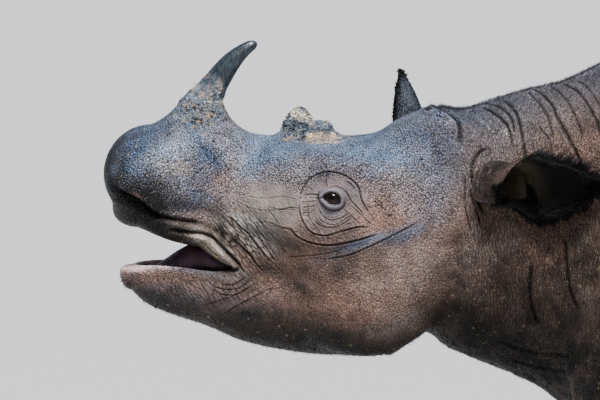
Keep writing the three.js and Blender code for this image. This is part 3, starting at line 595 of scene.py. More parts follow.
# ---- folds, creases and swellings of the hide
# Each crease: depth, half width and its line in the side view, then, where they aren't the usual ones, how
# far its sides are raised as a share of the depth and how much higher its upper or rear side laps over it.
# Both sides of the animal have it.
USUAL_RIM, USUAL_LAP = 0.4, 0
CREASES = {
    "orbit, over": (2.72, 1.18, [(-886, 1050), (-883, 1070), (-867, 1093), (-838, 1103), (-809, 1096),
        (-790, 1080), (-783, 1057), (-771, 1035), (-762, 1022)], 0.35, 0),
    "orbit, under": (2.56, 1.18, [(-886, 1060), (-885, 1034), (-871, 1007), (-846, 998), (-815, 1006),
        (-786, 1013), (-763, 1008)]),
    "orbit, inner": (1.52, 0.9, [(-873, 1056), (-871, 1030), (-859, 1011), (-848, 1003)]),
    "orbit, third": (1.12, 0.8, [(-864, 1058), (-862, 1036), (-855, 1022), (-843, 1011), (-826, 1009)]),
    "under lid": (1.28, 0.84, [(-857, 1034), (-849, 1022), (-828, 1016), (-806, 1028), (-792, 1036)]),
    "under lid, inner": (0.96, 0.8, [(-860, 1058), (-852, 1038), (-836, 1028), (-818, 1031)]),
    "over lid": (1.76, 0.9, [(-846, 1073), (-828, 1079.5), (-810, 1071), (-800, 1055), (-785, 1039),
        (-776, 1025)], 0.3, 0),
    "brow": (1.12, 0.84, [(-818, 1089), (-803, 1085), (-794, 1072), (-791, 1054)]),
    "canthus": (1.92, 1.06, [(-880, 1064), (-864, 1066), (-849, 1063)]),
    "canthus, far": (0.96, 0.84, [(-885, 1040), (-870, 1039), (-858, 1040)]),
    "before eye": (0.96, 0.9, [(-912, 1075), (-900, 1076), (-887, 1081), (-873, 1085)]),
    "before eye, low": (1.04, 0.9, [(-921, 1040), (-905, 1040), (-888, 1041)]),
    "behind eye": (0.8, 0.9, [(-768, 1074), (-764, 1063), (-757, 1051), (-738, 1038)]),
    "pouch": (3.36, 1.4, [(-920, 1010), (-900, 1008), (-889, 996), (-866, 985), (-835, 982), (-800, 988),
        (-768, 997), (-748, 1002)], 0.4, 0.2),
    "cheek, upper": (1.36, 1.12, [(-918, 956), (-896, 960), (-869, 963), (-830, 970), (-806, 979)], 0.5, 0),
    "cheek, long": (2.4, 1.34, [(-850, 956), (-806, 965), (-777, 977), (-741, 994), (-706, 1012),
        (-680, 1026)]),
    "under horn": (1.44, 1.23, [(-1045, 1166), (-1016, 1158), (-989, 1143), (-975, 1132)]),
    "nose": (0.8, 1.12, [(-1077, 1074), (-1063, 1066), (-1050, 1066), (-1033, 1070)]),
    "nose, arc": (0.64, 1.12, [(-1090, 1140), (-1104, 1126), (-1106, 1108), (-1098, 1092)]),
    "nostril roll": (6.5, 3.4, [(-1204, 1080), (-1189, 1069), (-1165, 1056), (-1149, 1043), (-1131, 1027),
        (-1110, 1021), (-1084, 1017), (-1058, 1014), (-1038, 1008)], 0.3, 0.5),
    "lip roll": (7.5, 2.8, [(-1112, 1003), (-1088, 1000), (-1070, 998), (-1050, 996), (-1032, 989),
        (-1020, 977), (-1008, 965), (-993, 950), (-986, 939), (-985, 929)], 0.35, 0.3),
    "lip fold": (2.0, 1.1, [(-1070, 992), (-1048, 984), (-1030, 968), (-1012, 952), (-998, 941)]),
    "cheek 1": (2.56, 1.29, [(-1013, 1025), (-999, 1019), (-987, 1008), (-971, 994), (-957, 976),
        (-930, 943)], 0.5, 0),
    "cheek 2": (1.76, 1.12, [(-978, 1045), (-966, 1033), (-954, 1019), (-938, 1004)], 0.5, 0),
    "cheek 3": (1.92, 1.12, [(-954, 990), (-943, 974), (-928, 953)], 0.5, 0),
    "cheek 4": (2.4, 1.23, [(-1017, 1004), (-1001, 990), (-985, 976), (-971, 962), (-954, 941),
        (-944, 931)], 0.5, 0),
    "cheek 5": (2.08, 1.12, [(-1024, 990), (-1014, 976), (-1001, 962), (-989, 948), (-976, 926)], 0.5, 0),
    "cheek 6": (2.08, 1.18, [(-994, 985), (-980, 971), (-966, 958), (-958, 938)], 0.5, 0),
    "cheek 7": (1.6, 1.06, [(-1009, 1018), (-995, 1003), (-983, 994), (-969, 981)], 0.5, 0),
    "cheek 8": (1.04, 1.01, [(-978, 1042), (-957, 1037), (-933, 1037), (-905, 1042), (-889, 1045)]),
    "cheek 9": (1.44, 1.06, [(-955, 990), (-950, 978), (-940, 965), (-926, 951)]),
    "eye 1": (1.53, 0.83, [(-841, 1100), (-842, 1088), (-840, 1075)]),
    "eye 2": (1.36, 0.83, [(-814, 1087), (-802, 1084), (-797, 1075)]),
    "eye 3": (1.53, 0.83, [(-883, 1053), (-869, 1054), (-855, 1056)]),
    "eye 4": (1.53, 0.83, [(-881, 1044), (-868, 1046), (-857, 1048)]),
    "eye 5": (1.36, 0.83, [(-882, 1035), (-871, 1036), (-861, 1038)]),
    "eye 6": (1.87, 0.88, [(-855, 1044), (-848, 1031), (-834, 1024), (-816, 1028), (-802, 1038)]),
    "eye 7": (1.7, 0.88, [(-864, 1026), (-851, 1014), (-829, 1012), (-809, 1021), (-794, 1034)]),
    "eye 8": (1.53, 0.83, [(-814, 1043), (-804, 1034), (-794, 1025), (-784, 1015)]),
    "eye 9": (1.53, 0.83, [(-804, 1050), (-790, 1038), (-778, 1026), (-765, 1015)]),
    "eye 10": (1.7, 0.88, [(-873, 1007), (-854, 998), (-831, 999), (-810, 1006), (-788, 1012), (-770, 1009)]),
    "eye 11": (1.53, 0.88, [(-935, 1042), (-916, 1040), (-897, 1044), (-884, 1041)]),
    "eye 12": (1.53, 0.88, [(-917, 1078), (-900, 1090), (-882, 1094), (-862, 1095)]),
    "eye 13": (1.53, 0.88, [(-935, 1013), (-916, 1011), (-900, 1006), (-890, 996)]),
    "eye 14": (1.36, 0.88, [(-766, 1073), (-760, 1059), (-747, 1049)]),
    "eye 15": (1.36, 0.83, [(-810, 1016), (-797, 1021), (-785, 1030)]),
    "cheek 10": (1.4, 1.0, [(-990, 1041), (-970, 1021), (-950, 997), (-930, 965), (-921, 948)]),
    "cheek 11": (1.3, 1.0, [(-969, 1041), (-946, 1013), (-922, 985), (-905, 960)]),
    "cheek 12": (1.2, 1.0, [(-945, 1045), (-923, 1021), (-905, 996)]),
    "cheek 13": (1.1, 0.9, [(-978, 1060), (-946, 1056), (-914, 1061), (-886, 1056)]),
    "cheek 14": (1.1, 0.9, [(-966, 1013), (-938, 1017), (-906, 1008), (-885, 996)]),
    "cheek 15": (1.3, 1.0, [(-986, 977), (-969, 956), (-953, 936)]),
    "corner 1": (1.92, 1.12, [(-1020, 911), (-1004, 909), (-993, 911), (-974, 924)]),
    "corner 2": (1.76, 1.12, [(-1036, 910), (-1021, 903), (-1004, 901), (-985, 905), (-964, 924)]),
    "corner 3": (1.44, 1.12, [(-1030, 898), (-1012, 892), (-992, 893), (-968, 906)]),
    "jaw 1": (1.28, 1.12, [(-1028, 850), (-1002, 866), (-976, 882), (-950, 896), (-935, 903),
        (-909, 905)], 0.5, 0),
    "jaw 2": (1.12, 1.12, [(-1051, 872), (-1022, 881), (-994, 892), (-971, 905), (-953, 916)], 0.5, 0),
    "jaw hollow": (6, 20, [(-950, 945), (-930, 933), (-905, 916), (-886, 896), (-870, 872)], 0, 0),
    "poll": (8, 3.2, [(-672, 1198), (-657, 1203), (-644, 1199), (-630, 1190), (-621, 1181), (-619, 1168),
        (-622, 1146)], 0.3, 0.25),
    "poll, small": (1.6, 1.34, [(-681, 1194), (-662, 1195), (-649, 1191), (-640, 1184)]),
    "neck 1": (3.52, 1.9, [(-597, 1206), (-576, 1205), (-559, 1196), (-546, 1184), (-538, 1171),
        (-534, 1142)], 0.4, 0.2),
    "neck 2": (3.04, 1.68, [(-577, 1212), (-559, 1210), (-545, 1203), (-533, 1188), (-529, 1162)], 0.4, 0.2),
    "neck 3": (3.68, 1.9, [(-541, 1217), (-529, 1205), (-522, 1189), (-517, 1153), (-515, 1130),
        (-518, 1090)], 0.4, 0.2),
    "neck 4": (2.24, 1.68, [(-500, 1228), (-487, 1215), (-478, 1201), (-472, 1183), (-467, 1155)]),
    "neck 5": (3.36, 1.9, [(-490, 1233), (-477, 1226), (-465, 1210), (-460, 1194), (-445, 1164), (-431, 1131),
        (-424, 1096)], 0.4, 0.2),
    "neck 6": (2.72, 1.79, [(-441, 1244), (-425, 1236), (-414, 1222), (-406, 1207), (-395, 1177),
        (-390, 1140)]),
    "neck 7": (1.92, 1.68, [(-420, 1250), (-407, 1242), (-398, 1227), (-388, 1205), (-380, 1170)]),
    "neck 8": (2.08, 1.46, [(-492, 1187), (-486, 1172), (-476, 1159), (-472, 1141), (-472, 1118)]),
    "neck 9": (1.92, 1.68, [(-462, 1240), (-448, 1228), (-438, 1212), (-428, 1186), (-420, 1160)]),
    "neck, low 1": (3.6, 3.1, [(-507, 960), (-509, 908), (-503, 877), (-490, 850)]),
    "neck, low 2": (3, 3.1, [(-455, 1010), (-452, 960), (-446, 915), (-430, 880)]),
    "neck, low 3": (3.2, 3.72, [(-560, 820), (-520, 806), (-480, 800), (-430, 806)]),
    "neck, low 4": (3.2, 3.72, [(-545, 790), (-505, 776), (-460, 772), (-410, 782)]),
    "ear ring": (4.4, 2.24, [(-564, 1141), (-581, 1139), (-593, 1130), (-600, 1116), (-602, 1100),
        (-600, 1086), (-595, 1070), (-590, 1050), (-580, 1030)], 0.3, 0.2),
    "ear ring, outer": (1.92, 1.46, [(-614, 1108), (-613, 1080), (-614, 1057), (-610, 1030), (-603, 1000)]),
    "ear ring, low": (2.08, 1.46, [(-607, 1082), (-602, 1062), (-596, 1046), (-588, 1015)]),
    "throat": (9, 16, [(-640, 1010), (-628, 950), (-632, 890), (-650, 840), (-672, 800)], 0.2, 0),
    "collar": (9, 12, [(-318, 1258), (-300, 1150), (-306, 1000), (-330, 860), (-352, 740),
        (-360, 660)], 0.4, 0.2),
    "girth": (17, 13, [(-66, 1278), (-52, 1180), (-38, 1050), (-30, 900), (-42, 760), (-76, 650), (-122, 575),
        (-150, 540)], 0.35, 0.3),
    "flank": (10, 12, [(716, 1060), (698, 960), (688, 860), (686, 760), (704, 660), (742, 590)], 0.35, 0.2),
    "croup": (7, 11, [(1010, 1190), (1022, 1120), (1018, 1040), (1004, 960)], 0.35, 0.2),
    "shoulder 1": (4, 6, [(-262, 1190), (-242, 1110), (-244, 1010), (-258, 930)], 0.35, 0),
    "shoulder 2": (4, 6, [(-164, 1210), (-140, 1120), (-134, 1010), (-150, 910)], 0.35, 0),
    "elbow 1": (7, 7, [(-56, 716), (-80, 668), (-112, 630), (-144, 606)], 0.35, 0.2),
    "elbow 2": (5, 6, [(-22, 668), (-52, 626), (-92, 592)], 0.35, 0),
    "side 1": (4, 7, [(36, 1196), (60, 1090), (66, 980), (56, 870)], 0.3, 0),
    "side 2": (3.5, 6, [(150, 1120), (168, 1020), (164, 920), (150, 820)], 0.3, 0),
    "side 3": (3.5, 6, [(286, 1060), (296, 960), (286, 850)], 0.3, 0),
    "side 4": (4, 7, [(566, 1110), (588, 1000), (590, 900), (574, 790)], 0.3, 0),
    "belly 1": (5, 8, [(30, 650), (120, 612), (220, 596), (340, 594)], 0.3, 0.2),
    "belly 2": (4, 7, [(190, 560), (290, 548), (400, 552), (510, 574)], 0.3, 0),
    "stifle 1": (7, 8, [(634, 780), (656, 712), (694, 654), (736, 612)], 0.35, 0.2),
    "stifle 2": (5, 7, [(600, 700), (630, 644), (672, 600)], 0.35, 0),
    "rump 1": (4, 7, [(856, 1190), (876, 1100), (878, 1010), (866, 910)], 0.3, 0),
    "rump 2": (4, 7, [(944, 1160), (962, 1060), (962, 960), (946, 850)], 0.3, 0),
    "rump 3": (4, 6, [(1064, 1110), (1074, 1040), (1066, 950)], 0.3, 0),
    "arm 2": (5, 7, [(-344, 668), (-294, 640), (-220, 628), (-150, 640)], 0.35, 0.2),
    "thigh 2": (5, 7, [(770, 690), (840, 668), (920, 678), (980, 714)], 0.35, 0),
    "arm": (9, 10, [(-352, 600), (-300, 572), (-230, 558), (-160, 566), (-110, 600)], 0.35, 0.2),
    "thigh": (9, 10, [(716, 600), (770, 566), (850, 556), (930, 584), (990, 640)], 0.35, 0.2),
}
# These run on over the animal's back to the other side.
RUNS_OVER = ("poll", "collar", "girth", *[f"neck {number}" for number in (1, 2, 3, 4, 5, 6, 7, 9)])

# Broad swellings and hollows: middle in the side view, half sizes, turn in degrees, and height. Those called
# top lie along the back, the others on both sides.
FORMS = {
    "nose bulge": ((-1101, 1120), (40, 28), 20, 7.0),
    "bridge hollow": ((-1040, 1122), (16, 36), 18, -9.0),
    "horn root": ((-1014, 1142), (22, 18), -20, 5.5),
    "cheek hollow": ((-998, 1072), (20, 38), -10, -6.5),
    "brow": ((-800, 1116), (80, 20), -6, 3.5),
    "temple": ((-728, 1062), (40, 34), 20, -3.0),
    "cheek pad": ((-905, 1018), (30, 44), 10, 2.5),
    "lip roll": ((-1034, 972), (48, 13), -42, 6.0),
    "nose tip": ((-1188, 1058), (22, 26), 0, 5.0),
    "lower lip": ((-1118, 930), (50, 9), 2, 3.5),
    "poll roll": ((-627, 1196), (24, 13), -40, 6.0),
    "poll hollow": ((-652, 1170), (22, 14), -30, -3.5),
    "chin": ((-1090, 880), (60, 26), 12, 3.0),
    "neck hollow": ((-560, 960), (46, 120), 8, -7.0),
    "jowl": ((-700, 860), (70, 50), 0, 4.0),
    "elbow": ((-170, 640), (60, 60), 0, 6.0),
    "top dip": ((-612, 1206), (28, 26), 0, -6.5),
    "top of loins": ((560, 1262), (110, 40), 0, -5.0),
    "hip": ((800, 1130), (70, 52), -20, 13.0),
    "loin hollow": ((676, 1080), (60, 80), 10, -11.0),
    "shoulder blade": ((-200, 1080), (60, 130), 10, 9.0),
    "behind shoulder": ((-96, 1040), (34, 130), 4, -9.0),
    "upper arm": ((-250, 830), (70, 90), -20, 8.0),
    "haunch": ((880, 900), (90, 130), -10, 8.0),
    "behind haunch": ((760, 860), (34, 110), 8, -8.0),
    "ribs": ((240, 900), (210, 150), 0, 6.0),
    "belly fold": ((330, 610), (240, 34), 0, 6.0),
    "ribs hollow": ((600, 900), (70, 150), 0, -9.0),
}
NOSTRIL = [(-1180, 1058), (-1162, 1048), (-1146, 1035), (-1130, 1023)]  # the slit's line
NOSTRIL_DEEP, NOSTRIL_WIDE = 17.0, 8.0
LEG_TOP = 470  # above this the legs run into the trunk
# How high each wrinkle round a leg is.
LEG_RINGS = {"fore": (128, 148, 300, 322, 346, 430), "hind": (126, 148, 322, 350, 420)}


def crease_lines():
    """Every crease's line on the skin, with Y above 0, as points 3 mm apart."""
    flat = [spline(places, 3) for _, _, places, *_ in CREASES.values()]
    ends = np.cumsum([len(line) for line in flat])[:-1]
    return dict(zip(CREASES, np.split(on_side(np.concatenate(flat)), ends)))


def folded(points, outward):
    """Points and their outward directions, both sides laid on the one with Y above 0."""
    sign = np.where(points[:, [1]] < 0, [[1.0, -1.0, 1.0]], 1.0)
    return one_sided(points), outward * sign


def creased(points, outward, lines):
    """How far each point of the hide is raised by creases and forms, and how much painted shade it gets in a
    crease.
    """
    half, normal = folded(points, outward)
    raised, deep = np.zeros(len(points)), np.zeros(len(points))
    for name, measures in CREASES.items():
        depth, width, _, rim, lap = (*measures, USUAL_RIM, USUAL_LAP)[:5]
        line = lines[name]
        wide = width * (1.7 if width < 3 and name in RUNS_OVER else 1)
        reach = wide * (5 if depth < 5 else 4)
        at, d, share, offset, way = beside_line(half, line, reach)
        wobble = 1 + 0.25 * rolling(half[at], 14, 5)
        taper = ramp(0, 0.16, 1 - share)
        if name not in RUNS_OVER:
            taper = taper * ramp(0, 0.16, share)
        groove = taper * wobble * np.exp(-((d / width) ** 1.7))
        side = np.sign((offset * np.cross(normal[at], way)).sum(axis=1))
        shoulder = np.exp(-(((d - 2.1 * wide) / (1.2 * wide)) ** 2))
        raised[at] += depth * (rim * shoulder + lap * (side > 0) * shoulder) * taper - depth * groove
        # painted shade along the bottom of the crease
        dark = taper * np.exp(-((d / (0.3 * wide + 0.7 * width)) ** 2))
        # broad folds get less painted shade than narrow ones
        dark = dark * min(depth / 3, 1) * np.interp(width, [3.5, 8, 15], [1, 0.4, 0])
        deep[at] = np.maximum(deep[at], dark)
    for name, (place, size, turn, height) in FORMS.items():
        facing = normal[:, 2] if name.startswith("top") else normal[:, 1]
        raised += height * blob(half[:, 0], half[:, 2], place, size, turn) * ramp(0, 0.5, facing)
    return raised, deep


def nostrils(points):
    """How deep each point is pressed in by a nostril, from 0 to 1."""
    line = spline(on_side(spline(NOSTRIL, 6)), 3)
    at, d, share, _, _ = beside_line(one_sided(points), line, 3 * NOSTRIL_WIDE)
    pressed = np.zeros(len(points))
    deepest_midway = 0.45 + 0.55 * np.sin(np.pi * np.clip(share, 0.08, 0.92))
    pressed[at] = np.exp(-((d / NOSTRIL_WIDE) ** 2.6)) * deepest_midway
    return pressed


def leg_rings(points):
    """Wrinkles round the ankles, wrists and hocks."""
    raised, deep = np.zeros(len(points)), np.zeros(len(points))
    wobble = 7 * rolling(points, 60, 9)
    for name, (x0, side, _) in STANCE.items():
        near = (np.abs(points[:, 0] - x0) < 140) & (side * points[:, 1] > 30)
        own = np.flatnonzero(near & (points[:, 2] < LEG_TOP))
        for height in LEG_RINGS[name.split("_")[1]]:
            off = (points[own, 2] + wobble[own] - height) / 5
            share = 0.6 + 0.4 * rolling(points[own], 50, height)
            raised[own] += share * (0.9 * np.exp(-((np.abs(off) - 2) ** 2)) - 3.2 * np.exp(-off * off))
            # painted shade in the wrinkles
            deep[own] = np.maximum(deep[own], 0.8 * share * np.exp(-off * off))
    return raised, deep


def wrinkled(points):
    """The hide's own relief: rolling lumps, upright pleats on the neck and slanting ones on the cheek."""
    x, _, z = points.T
    head = ramp(-600, -680, x)
    neck = ramp(-700, -600, x) * ramp(-150, -330, x)
    cheek = head * blob(x, z, (-975, 975), (75, 75))
    raised = (1.2 * rolling(points, 45, 1) + 0.6 * rolling(points, 18, 2)) * (1 - 0.6 * head)
    pleats = 1.1 * rolling(points * [1, 0.8, 0.28], 11, 11) + rolling(points * [1, 0.8, 0.4], 24, 12)
    raised += neck * pleats
    slanted = points @ np.array([[0.2, 0, 0.96], [0, 0.6, 0], [-0.22, 0, 0.87]])
    raised -= cheek * (1 - ramp(0, 0.5, cracks(slanted, 13, 13)))
    return raised - (head - cheek) * 0.3 * (1 - ramp(0, 0.4, cracks(points, 9, 14)))


# ---- the eyes
BALL_RADIUS, BALL_SUNK = 19.5, 12.0
# The eye's opening seen from straight outside: how far to the rear and how far up, from the eye's middle.
LID_LINE = [(-15, 2.4), (-8.6, 8.0), (-1.6, 9.6), (5.2, 8.2), (10.2, 3.8), (11.8, -2.6), (10.2, -7.8),
    (5, -10), (-3.2, -9.3), (-9.3, -4.9)]
LID_ROLL = 2.7  # height of the roll of hide round the opening
EYE_REACH = 60


def eye_seat():
    """The eye's middle on the skin, and the ways out, to the rear and up from it."""
    seat = on_side([(EYE[0], EYE[2])])
    slope = field_slope(seat)[1][0]
    out = slope / np.linalg.norm(slope)
    rear = np.array([1, 0, 0]) - out[0] * out
    rear /= np.linalg.norm(rear)
    return seat[0], out, rear, np.cross(rear, out)


def ball_height(across):
    """How far the eyeball stands over its seat, at a distance from its middle."""
    return np.sqrt(np.maximum(BALL_RADIUS**2 - across**2, 0)) - BALL_SUNK


def inside_outline(places, outline):
    inside = np.zeros(len(places), bool)
    for (x0, y0), (x1, y1) in zip(outline, np.roll(outline, -1, axis=0)):
        over = (y0 > places[:, 1]) != (y1 > places[:, 1])
        at = x0 + (places[:, 1] - y0) * (x1 - x0) / (y1 - y0 + EPS)
        inside ^= over & (places[:, 0] < at)
    return inside


def lidded(points, deep):
    """The hide round the eyes shaped into lids; also how far each point is outside the opening."""
    seat, out, rear, up = eye_seat()
    sign = np.where(points[:, [1]] < 0, [[1, -1, 1]], [[1, 1, 1]])
    offset = points * sign - seat
    near = np.flatnonzero(np.linalg.norm(offset, axis=1) < EYE_REACH)
    offset = offset[near]
    place = np.stack([offset @ rear, offset @ up], axis=1)
    height = offset @ out
    edge = spline([*LID_LINE[-2:], *LID_LINE, *LID_LINE[:3]], 0.7)
    away = np.linalg.norm(place[:, None] - edge, axis=2)
    nearest = away.argmin(axis=1)
    in_opening = inside_outline(place, spline([*LID_LINE, LID_LINE[0]], 0.7))
    gap = away.min(axis=1) * np.where(in_opening, -1, 1)
    margin = ball_height(np.linalg.norm(edge[nearest], axis=1)) + 1.4
    # the roll is thickest over the eye, and has a fine crease along its middle
    upper = ramp(-6, 8, place[:, 1])
    roll = (LID_ROLL + 0.6 * upper) * np.exp(-(((gap - 4.6) / (3.1 + 0.4 * upper)) ** 2))
    # a deep crease parts the lids from the hide, deepest under the eye and towards its inner corner
    around = np.exp(-(((gap - 9.4 - 0.6 * upper) / 1.4) ** 2))
    around = around * ramp(9, -4, place[:, 1] + 0.35 * place[:, 0])
    roll -= 1.9 * around + 0.4 * np.exp(-(((gap - 9.8) / 0.95) ** 2))
    roll -= 0.55 * np.exp(-(((gap - 3.4) / 0.55) ** 2)) * ramp(-0.2, 0.4, np.sin(place[:, 0] / 7))
    corner = np.exp(-(((place[:, 1] - 1.5 - 0.1 * (place[:, 0] + 17)) / 1.5) ** 2))
    corner *= ramp(-33, -24, place[:, 0]) * ramp(-14, -18, place[:, 0])
    away_share = ramp(3, 15, gap)
    lid = margin * (1 - away_share) + height * away_share + roll - 1.8 * corner
    well = ball_height(np.linalg.norm(place, axis=1)) - 3
    inner = ramp(-0.4, -2.6, gap)
    new = lid * (1 - inner) + well * inner
    points = points.copy()
    points[near] += (new - height)[:, None] * out * sign[near]
    gaps = np.full(len(points), 99.0)
    gaps[near] = gap
    # painted shade in the crease round the lids and at their inner corner; other creases' shade fades by the
    # opening
    deep = deep.copy()
    deep[near] = np.maximum(deep[near] * ramp(2, 9, gap), np.maximum(0.9 * corner, around))
    return points, deep, gaps


# ---- folded pieces and round ones
def down_line(line, count):
    """count points along a curve, and the way it goes at each."""
    fine = spline(line, 1)
    run = np.linspace(0, len(fine) - 1, count)
    mid = np.stack([np.interp(run, np.arange(len(fine)), c) for c in fine.T], axis=1)
    way = np.gradient(mid, axis=0)
    return mid, way / np.linalg.norm(way, axis=1)[:, None]


def at_share(values, share):
    """A value from a list of evenly spaced ones, which runs smoothly from one to the next."""
    place, value = smooth_table([(i, v) for i, v in enumerate(values)], 0.02)
    return np.interp(share * (len(values) - 1), place, value[:, 0])


def lofted(rings):
    """Faces between rings of points; the ends are closed with a fan round their middles."""
    count, sides = rings.shape[:2]
    i, j = np.meshgrid(np.arange(count - 1), np.arange(sides), indexing="ij")
    a, b = i * sides + j, i * sides + (j + 1) % sides
    quads = np.stack([a, b, b + sides, a + sides], axis=-1).reshape(-1, 4)
    faces = np.concatenate([quads[:, [0, 1, 2]], quads[:, [0, 2, 3]]])
    points = rings.reshape(-1, 3)
    ends = np.array([rings[0].mean(axis=0), rings[-1].mean(axis=0)])
    j, k = np.arange(sides), (np.arange(sides) + 1) % sides
    far = (count - 1) * sides
    first = np.stack([k, j, np.full(sides, len(points))], axis=1)
    last = np.stack([far + j, far + k, np.full(sides, len(points) + 1)], axis=1)
    return np.concatenate([points, ends]), np.concatenate([faces, first, last])


def merged(*meshes):
    """Several (points, faces) as one."""
    shifts = np.cumsum([0] + [len(points) for points, _ in meshes])
    faces = [faces + shift for (_, faces), shift in zip(meshes, shifts)]
    return np.concatenate([points for points, _ in meshes]), np.concatenate(faces)


def rings_along(line, count, sides, across, long, wide):
    """Rings round a curve: long is their half size towards across, wide the one square to it."""
    mid, way = down_line(line, count)
    u = across - way * (way @ np.array(across, float))[:, None]
    u /= np.linalg.norm(u, axis=1)[:, None]
    v = np.cross(way, u)
    share = np.linspace(0, 1, count)
    turn = np.linspace(0, 2 * np.pi, sides, endpoint=False)[:, None]
    long, wide = at_share(long, share)[:, None, None], at_share(wide, share)[:, None, None]
    return mid[:, None] + long * np.cos(turn) * u[:, None] + wide * np.sin(turn) * v[:, None]


def rooted(rings, flare, blend, sink=1.5):
    """Rings whose first ones spread onto the skin like the root of a limb."""
    shape = rings.shape
    share = np.linspace(0, 1, shape[0])[:, None, None]
    middle = rings.mean(axis=1, keepdims=True)
    spread = middle + (rings - middle) * (1 + flare * ramp(blend, 0, share) ** 2)
    on_skin, _ = settle(spread.reshape(-1, 3), -COAT_DEPTH - sink, turns=6)
    return spread + (on_skin.reshape(shape) - spread) * ramp(blend, 0, share) ** 2


# ---- ears and tail, which are part of the skin
# Each ear's root, bend and tip, then the ways its hollow faces at the tip and at the root.
EAR_CURVES = {
    "left": (
        [(-587, -150, 1088), (-503, -226, 1084), (-404, -268, 1088)],
        (0.12, -0.96, -0.12),
        (0.1, -0.45, -0.89),
    ),
    "right": (
        [(-672, 116, 1098), (-696, 168, 1178), (-709, 196, 1260)],
        (-0.6, 0.76, -0.1),
        (-0.6, 0.76, -0.1),
    ),
}
EAR_HALF = {"left": [29, 36, 41, 46, 51, 50, 44, 36, 23, 5], "right": [29, 33, 35, 37, 37, 34, 29, 22, 13, 4]}
EAR_DEEP = [32, 38, 38, 34, 30, 26, 21, 16, 10, 3]
EAR_ROLLED = [179, 179, 168, 136, 106, 91, 84, 80, 78, 76]  # degrees each way from the back of the ear
EAR_THICK = [9, 8, 7, 6, 5.5, 5, 4.5, 4, 3.5, 2]
EAR_MIDDLE = 1088  # the height that parts the upper edge of the ear laid back from the lower one
EAR_INSIDE = 1.6  # the ear's back lies this far inside its solid, to leave room for hair


def edge_start(points):
    """The share of an ear's length from which its edge is black and fringed; it is more for an upper edge."""
    return np.where(points[:, 2] > EAR_MIDDLE, 0.42, 0.21)


def ear_mesh(side, count=90, sides=56):
    """A leaf of leather rolled into a funnel at its root; also which points are on its hollow side."""
    line, at_tip, at_root = EAR_CURVES[side]
    mid, axis = down_line(line, count)
    share = np.linspace(0, 1, count)
    opening = at_root + ramp(0.16, 0.52, share)[:, None] * np.subtract(at_tip, at_root)
    out = opening - axis * (axis * opening).sum(axis=1)[:, None]
    out /= np.linalg.norm(out, axis=1)[:, None]
    across = np.cross(axis, out)
    half, deep, thick = (at_share(v, share)[:, None] for v in (EAR_HALF[side], EAR_DEEP, EAR_THICK))
    roll = np.radians(at_share(EAR_ROLLED, share))[:, None]
    t = np.linspace(-1, 1, sides)
    # the inner face runs home with its edges rounded into the outer one
    angle = np.concatenate([roll * t, roll * t[::-1]], axis=1)
    inset = np.concatenate([np.full((count, sides), EAR_INSIDE), np.repeat(thick, sides, axis=1)], axis=1)
    edge = np.sqrt(np.clip(1 - np.concatenate([t, t[::-1]]) ** 8, 0, 1))
    inset = EAR_INSIDE + (thick / 2 - EAR_INSIDE) + (inset - thick / 2) * (0.25 + 0.75 * edge)
    inset = inset + 1.2 * np.sin(9 * share[:, None] + 3 * angle) * ramp(0.1, 0.3, share[:, None])
    ring = (
        mid[:, None]
        + across[:, None] * ((half - inset) * np.sin(angle))[..., None]
        - out[:, None] * ((deep - inset) * np.cos(angle))[..., None]
    )
    hollow = np.concatenate([np.zeros((count, sides)), np.ones((count, sides))], axis=1)
    rim = np.abs(np.concatenate([t, t[::-1]]))[None] * np.ones((count, 1))
    # low folds run round the root
    folds = np.sin(2 * np.pi * (15 * share[:, None] + 0.15 * np.sin(3 * angle) + 0.1 * np.sin(5 * angle)))
    ring += (ring - mid[:, None]) * (0.035 * folds * ramp(0.3, 0.15, share[:, None]))[..., None]
    ring = rooted(ring, 0.1, 0.12)
    points, faces = lofted(ring)
    extra = lambda values: np.concatenate([values.ravel(), values.reshape(count, -1)[[0, -1]].mean(axis=1)])
    return points, faces, extra(hollow), extra(rim), extra(share[:, None] * np.ones((1, 2 * sides)))


def in_ear(points):
    """How far the hide at a place lies inside the funnel of an ear."""
    inside = np.zeros(len(points))
    for side, (line, *_) in EAR_CURVES.items():
        at, d, share, _, _ = beside_line(points, spline(line, 3), 50)
        close = ramp(1.0, 0.9, d / at_share(EAR_HALF[side], share))
        inside[at] = np.maximum(inside[at], close * ramp(0.1, 0.16, share) * ramp(0.5, 0.45, share))
    return inside


TAIL_LINE = [(1120, 0, 1128), (1172, 0, 1100), (1196, 0, 1020), (1202, 0, 900), (1196, 0, 780),
    (1192, 0, 668)]
TAIL_LONG = [38, 34, 25, 21, 18, 16, 13, 10, 9]
TAIL_WIDE = [44, 38, 29, 25, 22, 20, 17, 15, 13]
TAIL_RIPPLES = 26


def tail_mesh(count=110, sides=40):
    rings = rings_along(TAIL_LINE, count, sides, (1, 0, 0), TAIL_LONG, TAIL_WIDE)
    # wrinkles round the tail, closest together at its root
    share = np.linspace(0, 1, count)[:, None]
    turn = np.linspace(0, 2 * np.pi, sides, endpoint=False)
    uneven = 0.12 * np.sin(2 * turn) + 0.1 * np.sin(3 * turn + 9 * share)
    ripple = np.sin(2 * np.pi * (TAIL_RIPPLES * share**0.8 + uneven))
    middle = rings.mean(axis=1, keepdims=True)
    rings = middle + (rings - middle) * (1 + 0.045 * ripple * ramp(1, 0.8, share))[..., None]
    return lofted(rooted(rings, 0.5, 0.14))


